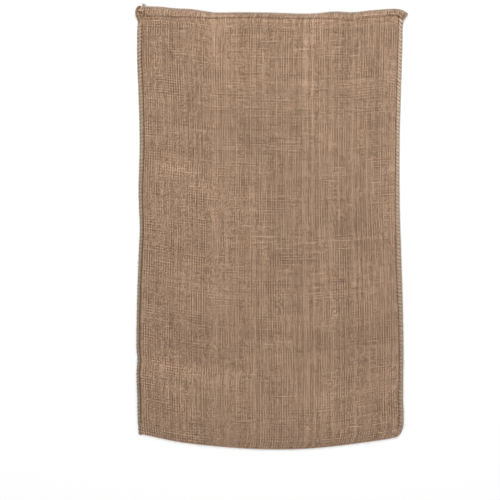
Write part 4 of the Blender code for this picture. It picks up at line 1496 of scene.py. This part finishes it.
KEY_PLACE = Vector((0.0, 2.6, 2.4))     # of the soft box
KEY_AIM = Vector((0.0, 0.15, 0.0))
KEY_SIZE = 2.2


def set_camera():
    """The photo's camera, straight above the sack."""
    camera = bpy.data.cameras.new("camera")
    camera.sensor_width = SENSOR
    camera.lens = SENSOR * (CAMERA_HEIGHT - FACE_HEIGHT) / VIEW_SIDE
    camera.clip_end = FAR_CLIP
    holder = add_holder("camera", camera)
    holder.location = (*VIEW_CENTRE, CAMERA_HEIGHT)
    bpy.context.scene.camera = holder


def set_key(power):
    """A square soft box beyond the mouth that shines at the sack."""
    light = bpy.data.lights.new("key", "AREA")
    light.shape = "SQUARE"
    light.size = KEY_SIZE
    light.energy = power
    holder = add_holder("key", light)
    holder.location = KEY_PLACE
    holder.rotation_euler = (KEY_AIM - KEY_PLACE).to_track_quat("-Z", "Y").to_euler()


def lay_floor(settings):
    """A plain floor far wider than the frame."""
    mesh = bmesh.new()
    bmesh.ops.create_grid(mesh, x_segments=1, y_segments=1, size=settings.floor_size / 2)
    data = bpy.data.meshes.new("floor")
    mesh.to_mesh(data)
    mesh.free()
    data.materials.append(floor_material(settings.floor_colour))
    add_holder("floor", data)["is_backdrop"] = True


def set_world(strength):
    """Even white light from all round."""
    world = bpy.data.worlds.new("studio")
    world.use_nodes = True
    background = world.node_tree.nodes["Background"]
    background.inputs["Color"].default_value = (1.0, 1.0, 1.0, 1.0)
    background.inputs["Strength"].default_value = strength
    bpy.context.scene.world = world
    bpy.context.scene.view_settings.view_transform = "Standard"


# --- The add-on ---
def colour_property(name, description, default):
    return FloatVectorProperty(
        name=name, description=description, default=default,
        size=3, min=0.0, max=1.0, subtype="COLOR",
    )


def length_property(name, description, default, low, high):
    return FloatProperty(
        name=name, description=description, default=default,
        min=low, max=high, precision=5, unit="LENGTH",
    )


class ClothSettings(PropertyGroup):
    """Weave and colours of the cloth."""

    warp_pitch: length_property(
        "Warp pitch", "From one lengthwise thread to the next", 0.00278, 0.001, 0.010)
    weft_pitch: length_property(
        "Weft pitch", "From one crosswise thread to the next", 0.00315, 0.001, 0.010)
    relief: length_property("Relief", "Height of the threads", 0.0007, 0.0, 0.003)
    thread_colour: colour_property("Threads", "Pale side of the jute", (0.585, 0.400, 0.272))
    warm_colour: colour_property("Warm threads", "Redder threads", (0.585, 0.384, 0.254))
    dark_colour: colour_property("Dark threads", "Dark side of the jute", (0.160, 0.090, 0.049))
    # painted shade in the holes between the threads
    gap_shade_colour: colour_property("Gaps", "Between the threads", (0.030, 0.014, 0.006))
    fleck_colour: colour_property("Flecks", "Bark in the threads", (0.120, 0.066, 0.036))
    # painted shade in the hem's groove, the creases and the right row of needle holes
    groove_shade_colour: colour_property("Groove", "Deep in the hem's line", (0.130, 0.078, 0.046))
    needle_colour: colour_property("Needle line", "Left row of stitches", (0.300, 0.182, 0.098))
    # grey painted along the edges, as painted shade where they turn down
    rim_shade_colour: colour_property("Rim", "Grey painted shade along the edges", (0.340, 0.270, 0.205))
    slub_colour: colour_property("Slubs", "Thick, pale places of threads", (0.540, 0.400, 0.288))
    bark_colour: colour_property("Bark", "Dark slivers", (0.130, 0.070, 0.040))


class SeamSettings(PropertyGroup):
    """Yarn of the two overcast sides and of the tied corner."""

    yarn_thickness: length_property("Yarn", "Thickness of the seam yarn", 0.0037, 0.0005, 0.006)
    tie_thickness: length_property("Tie", "Thickness of the corner's yarn", 0.0025, 0.0005, 0.006)
    left_colour: colour_property("Left yarn", "Light brown yarn", (0.525, 0.387, 0.268))
    right_colour: colour_property("Right yarn", "Cream yarn", (0.760, 0.600, 0.450))
    # greys the seam yarns are painted with, as painted shade where they round the edge
    shade_grey_colour: colour_property("Yarn in shade", "Left yarn round the edge", (0.235, 0.198, 0.155))
    pale_shade_grey_colour: colour_property(
        "Pale yarn in shade", "Right yarn round the edge", (0.400, 0.320, 0.240))
    # brown thread in the left row of needle holes, and the dark strand painted as shade in the right
    # row
    brown_thread_and_shade_colour: colour_property("Brown thread", "In the needle holes", (0.175, 0.090, 0.034))
    # the yarn round the left corner, and its strand under the knot painted as shade of the groove
    # there
    brown_colour: colour_property("Brown lacing and shade", "Yarn of the left corner", (0.170, 0.085, 0.036))
    knot_colour: colour_property("Knot", "Yarn knotted over it", (0.660, 0.480, 0.335))
    tuft_colour: colour_property("Tuft", "Frayed yarn end", (0.470, 0.400, 0.330))


class HemSettings(PropertyGroup):
    """Thread of the hem."""

    stitch_length: length_property("Stitch", "Length of one stitch", 0.0080, 0.002, 0.030)
    thread_thickness: length_property("Thread", "Thickness of the thread", 0.0011, 0.0003, 0.004)
    colour: colour_property("Thread", "Brown thread in the groove", (0.250, 0.155, 0.092))


class FibreSettings(PropertyGroup):
    """Loose fibres."""

    count: IntProperty(name="Fibres", description="How many", default=3600, min=0, max=9000)
    length: length_property("Length", "Usual length", 0.0075, 0.001, 0.030)
    thickness: length_property("Thickness", "Of one fibre", 0.00018, 0.00005, 0.001)
    colour: colour_property("Colour", "Pale straw", (0.620, 0.490, 0.360))


class StudioSettings(PropertyGroup):
    """Light and floor."""

    floor_size: length_property("Floor", "Side of the floor", 12.0, 2.0, 50.0)
    floor_colour: colour_property("Floor colour", "Pale floor", (0.98, 0.98, 0.98))
    key_power: FloatProperty(
        name="Key light", description="Power of the soft box beyond the mouth",
        default=72.0, min=0.0, max=1000.0, unit="POWER")
    fill: FloatProperty(
        name="Fill", description="Strength of the light all round", default=0.77, min=0.0, max=5.0)


SETTINGS = {
    "sack_cloth": ClothSettings,
    "sack_seams": SeamSettings,
    "sack_hem": HemSettings,
    "sack_fibres": FibreSettings,
    "sack_studio": StudioSettings,
}


class SACK_OT_cloth(Operator):
    """Weave the sack's cloth with its folds and hem"""

    bl_idname = "sack.cloth"
    bl_label = "Cloth"

    def execute(self, context):
        weave_cloth(context.scene.sack_cloth)
        return {"FINISHED"}


class SACK_OT_seams(Operator):
    """Overcast both sides with yarn"""

    bl_idname = "sack.seams"
    bl_label = "Seams"

    def execute(self, context):
        for seam in SEAMS:
            seam_yarn(seam, context.scene.sack_seams)
        running_yarns(context.scene.sack_seams)
        return {"FINISHED"}


class SACK_OT_hem(Operator):
    """Sew the rolled hem"""

    bl_idname = "sack.hem"
    bl_label = "Hem thread"

    def execute(self, context):
        hem_thread(context.scene.sack_hem)
        return {"FINISHED"}


class SACK_OT_corner(Operator):
    """Tie the left corner of the mouth and fray the yarn's end"""

    bl_idname = "sack.corner"
    bl_label = "Corner tie"

    def execute(self, context):
        seams = context.scene.sack_seams
        radius = seams.tie_thickness / 2
        for name, ties, colour in (
            ("left_corner_lacing", BROWN_LACING_AND_SHADE, seams.brown_colour),
            ("left_corner_knot", CREAM_KNOT, seams.knot_colour),
            ("left_corner_end", LOOSE_END, seams.tuft_colour),
        ):
            corner_tie(name, ties, radius, colour, seams.shade_grey_colour)
        corner_tuft(seams)
        return {"FINISHED"}


class SACK_OT_slubs(Operator):
    """Put slubs and slivers of bark on the threads"""

    bl_idname = "sack.slubs"
    bl_label = "Slubs and bark"

    def execute(self, context):
        slubs(context.scene.sack_cloth)
        bark(context.scene.sack_cloth)
        return {"FINISHED"}


class SACK_OT_fibres(Operator):
    """Let loose fibres stand off the cloth"""

    bl_idname = "sack.fibres"
    bl_label = "Loose fibres"

    def execute(self, context):
        loose_fibres(context.scene.sack_fibres)
        return {"FINISHED"}


class SACK_OT_stage(Operator):
    """Set the floor, the lights and the camera"""

    bl_idname = "sack.stage"
    bl_label = "Stage"

    def execute(self, context):
        studio = context.scene.sack_studio
        set_camera()
        lay_floor(studio)
        set_world(studio.fill)
        set_key(studio.key_power)
        return {"FINISHED"}


OPERATORS = (
    SACK_OT_stage, SACK_OT_cloth, SACK_OT_seams, SACK_OT_hem,
    SACK_OT_corner, SACK_OT_slubs, SACK_OT_fibres,
)


class SACK_PT_panel(Panel):
    """Lists the sack's pieces and their settings."""

    bl_idname = "SACK_PT_panel"
    bl_label = "Jute sack"
    bl_space_type = "VIEW_3D"
    bl_region_type = "UI"
    bl_category = "Jute sack"

    def draw(self, context):
        for operator in OPERATORS:
            self.layout.operator(operator.bl_idname)
        for name, group in SETTINGS.items():
            box = self.layout.box()
            box.label(text=group.__doc__)
            for key in group.__annotations__:
                box.prop(getattr(context.scene, name), key)


CLASSES = (*SETTINGS.values(), *OPERATORS, SACK_PT_panel)


def register():
    for item in CLASSES:
        bpy.utils.register_class(item)
    for name, group in SETTINGS.items():
        setattr(bpy.types.Scene, name, PointerProperty(type=group))


def unregister():
    for name in SETTINGS:
        delattr(bpy.types.Scene, name)
    for item in reversed(CLASSES):
        bpy.utils.unregister_class(item)


def main():
    register()
    bpy.ops.sack.stage()
    bpy.ops.sack.cloth()
    bpy.ops.sack.seams()
    bpy.ops.sack.hem()
    bpy.ops.sack.corner()
    bpy.ops.sack.slubs()
    bpy.ops.sack.fibres()
    boxes = {"cad": CAD_BOX, "visual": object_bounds()}
    {name: [list(corner) for corner in box] for name, box in boxes.items()}


if __name__ == "__main__":
    main()
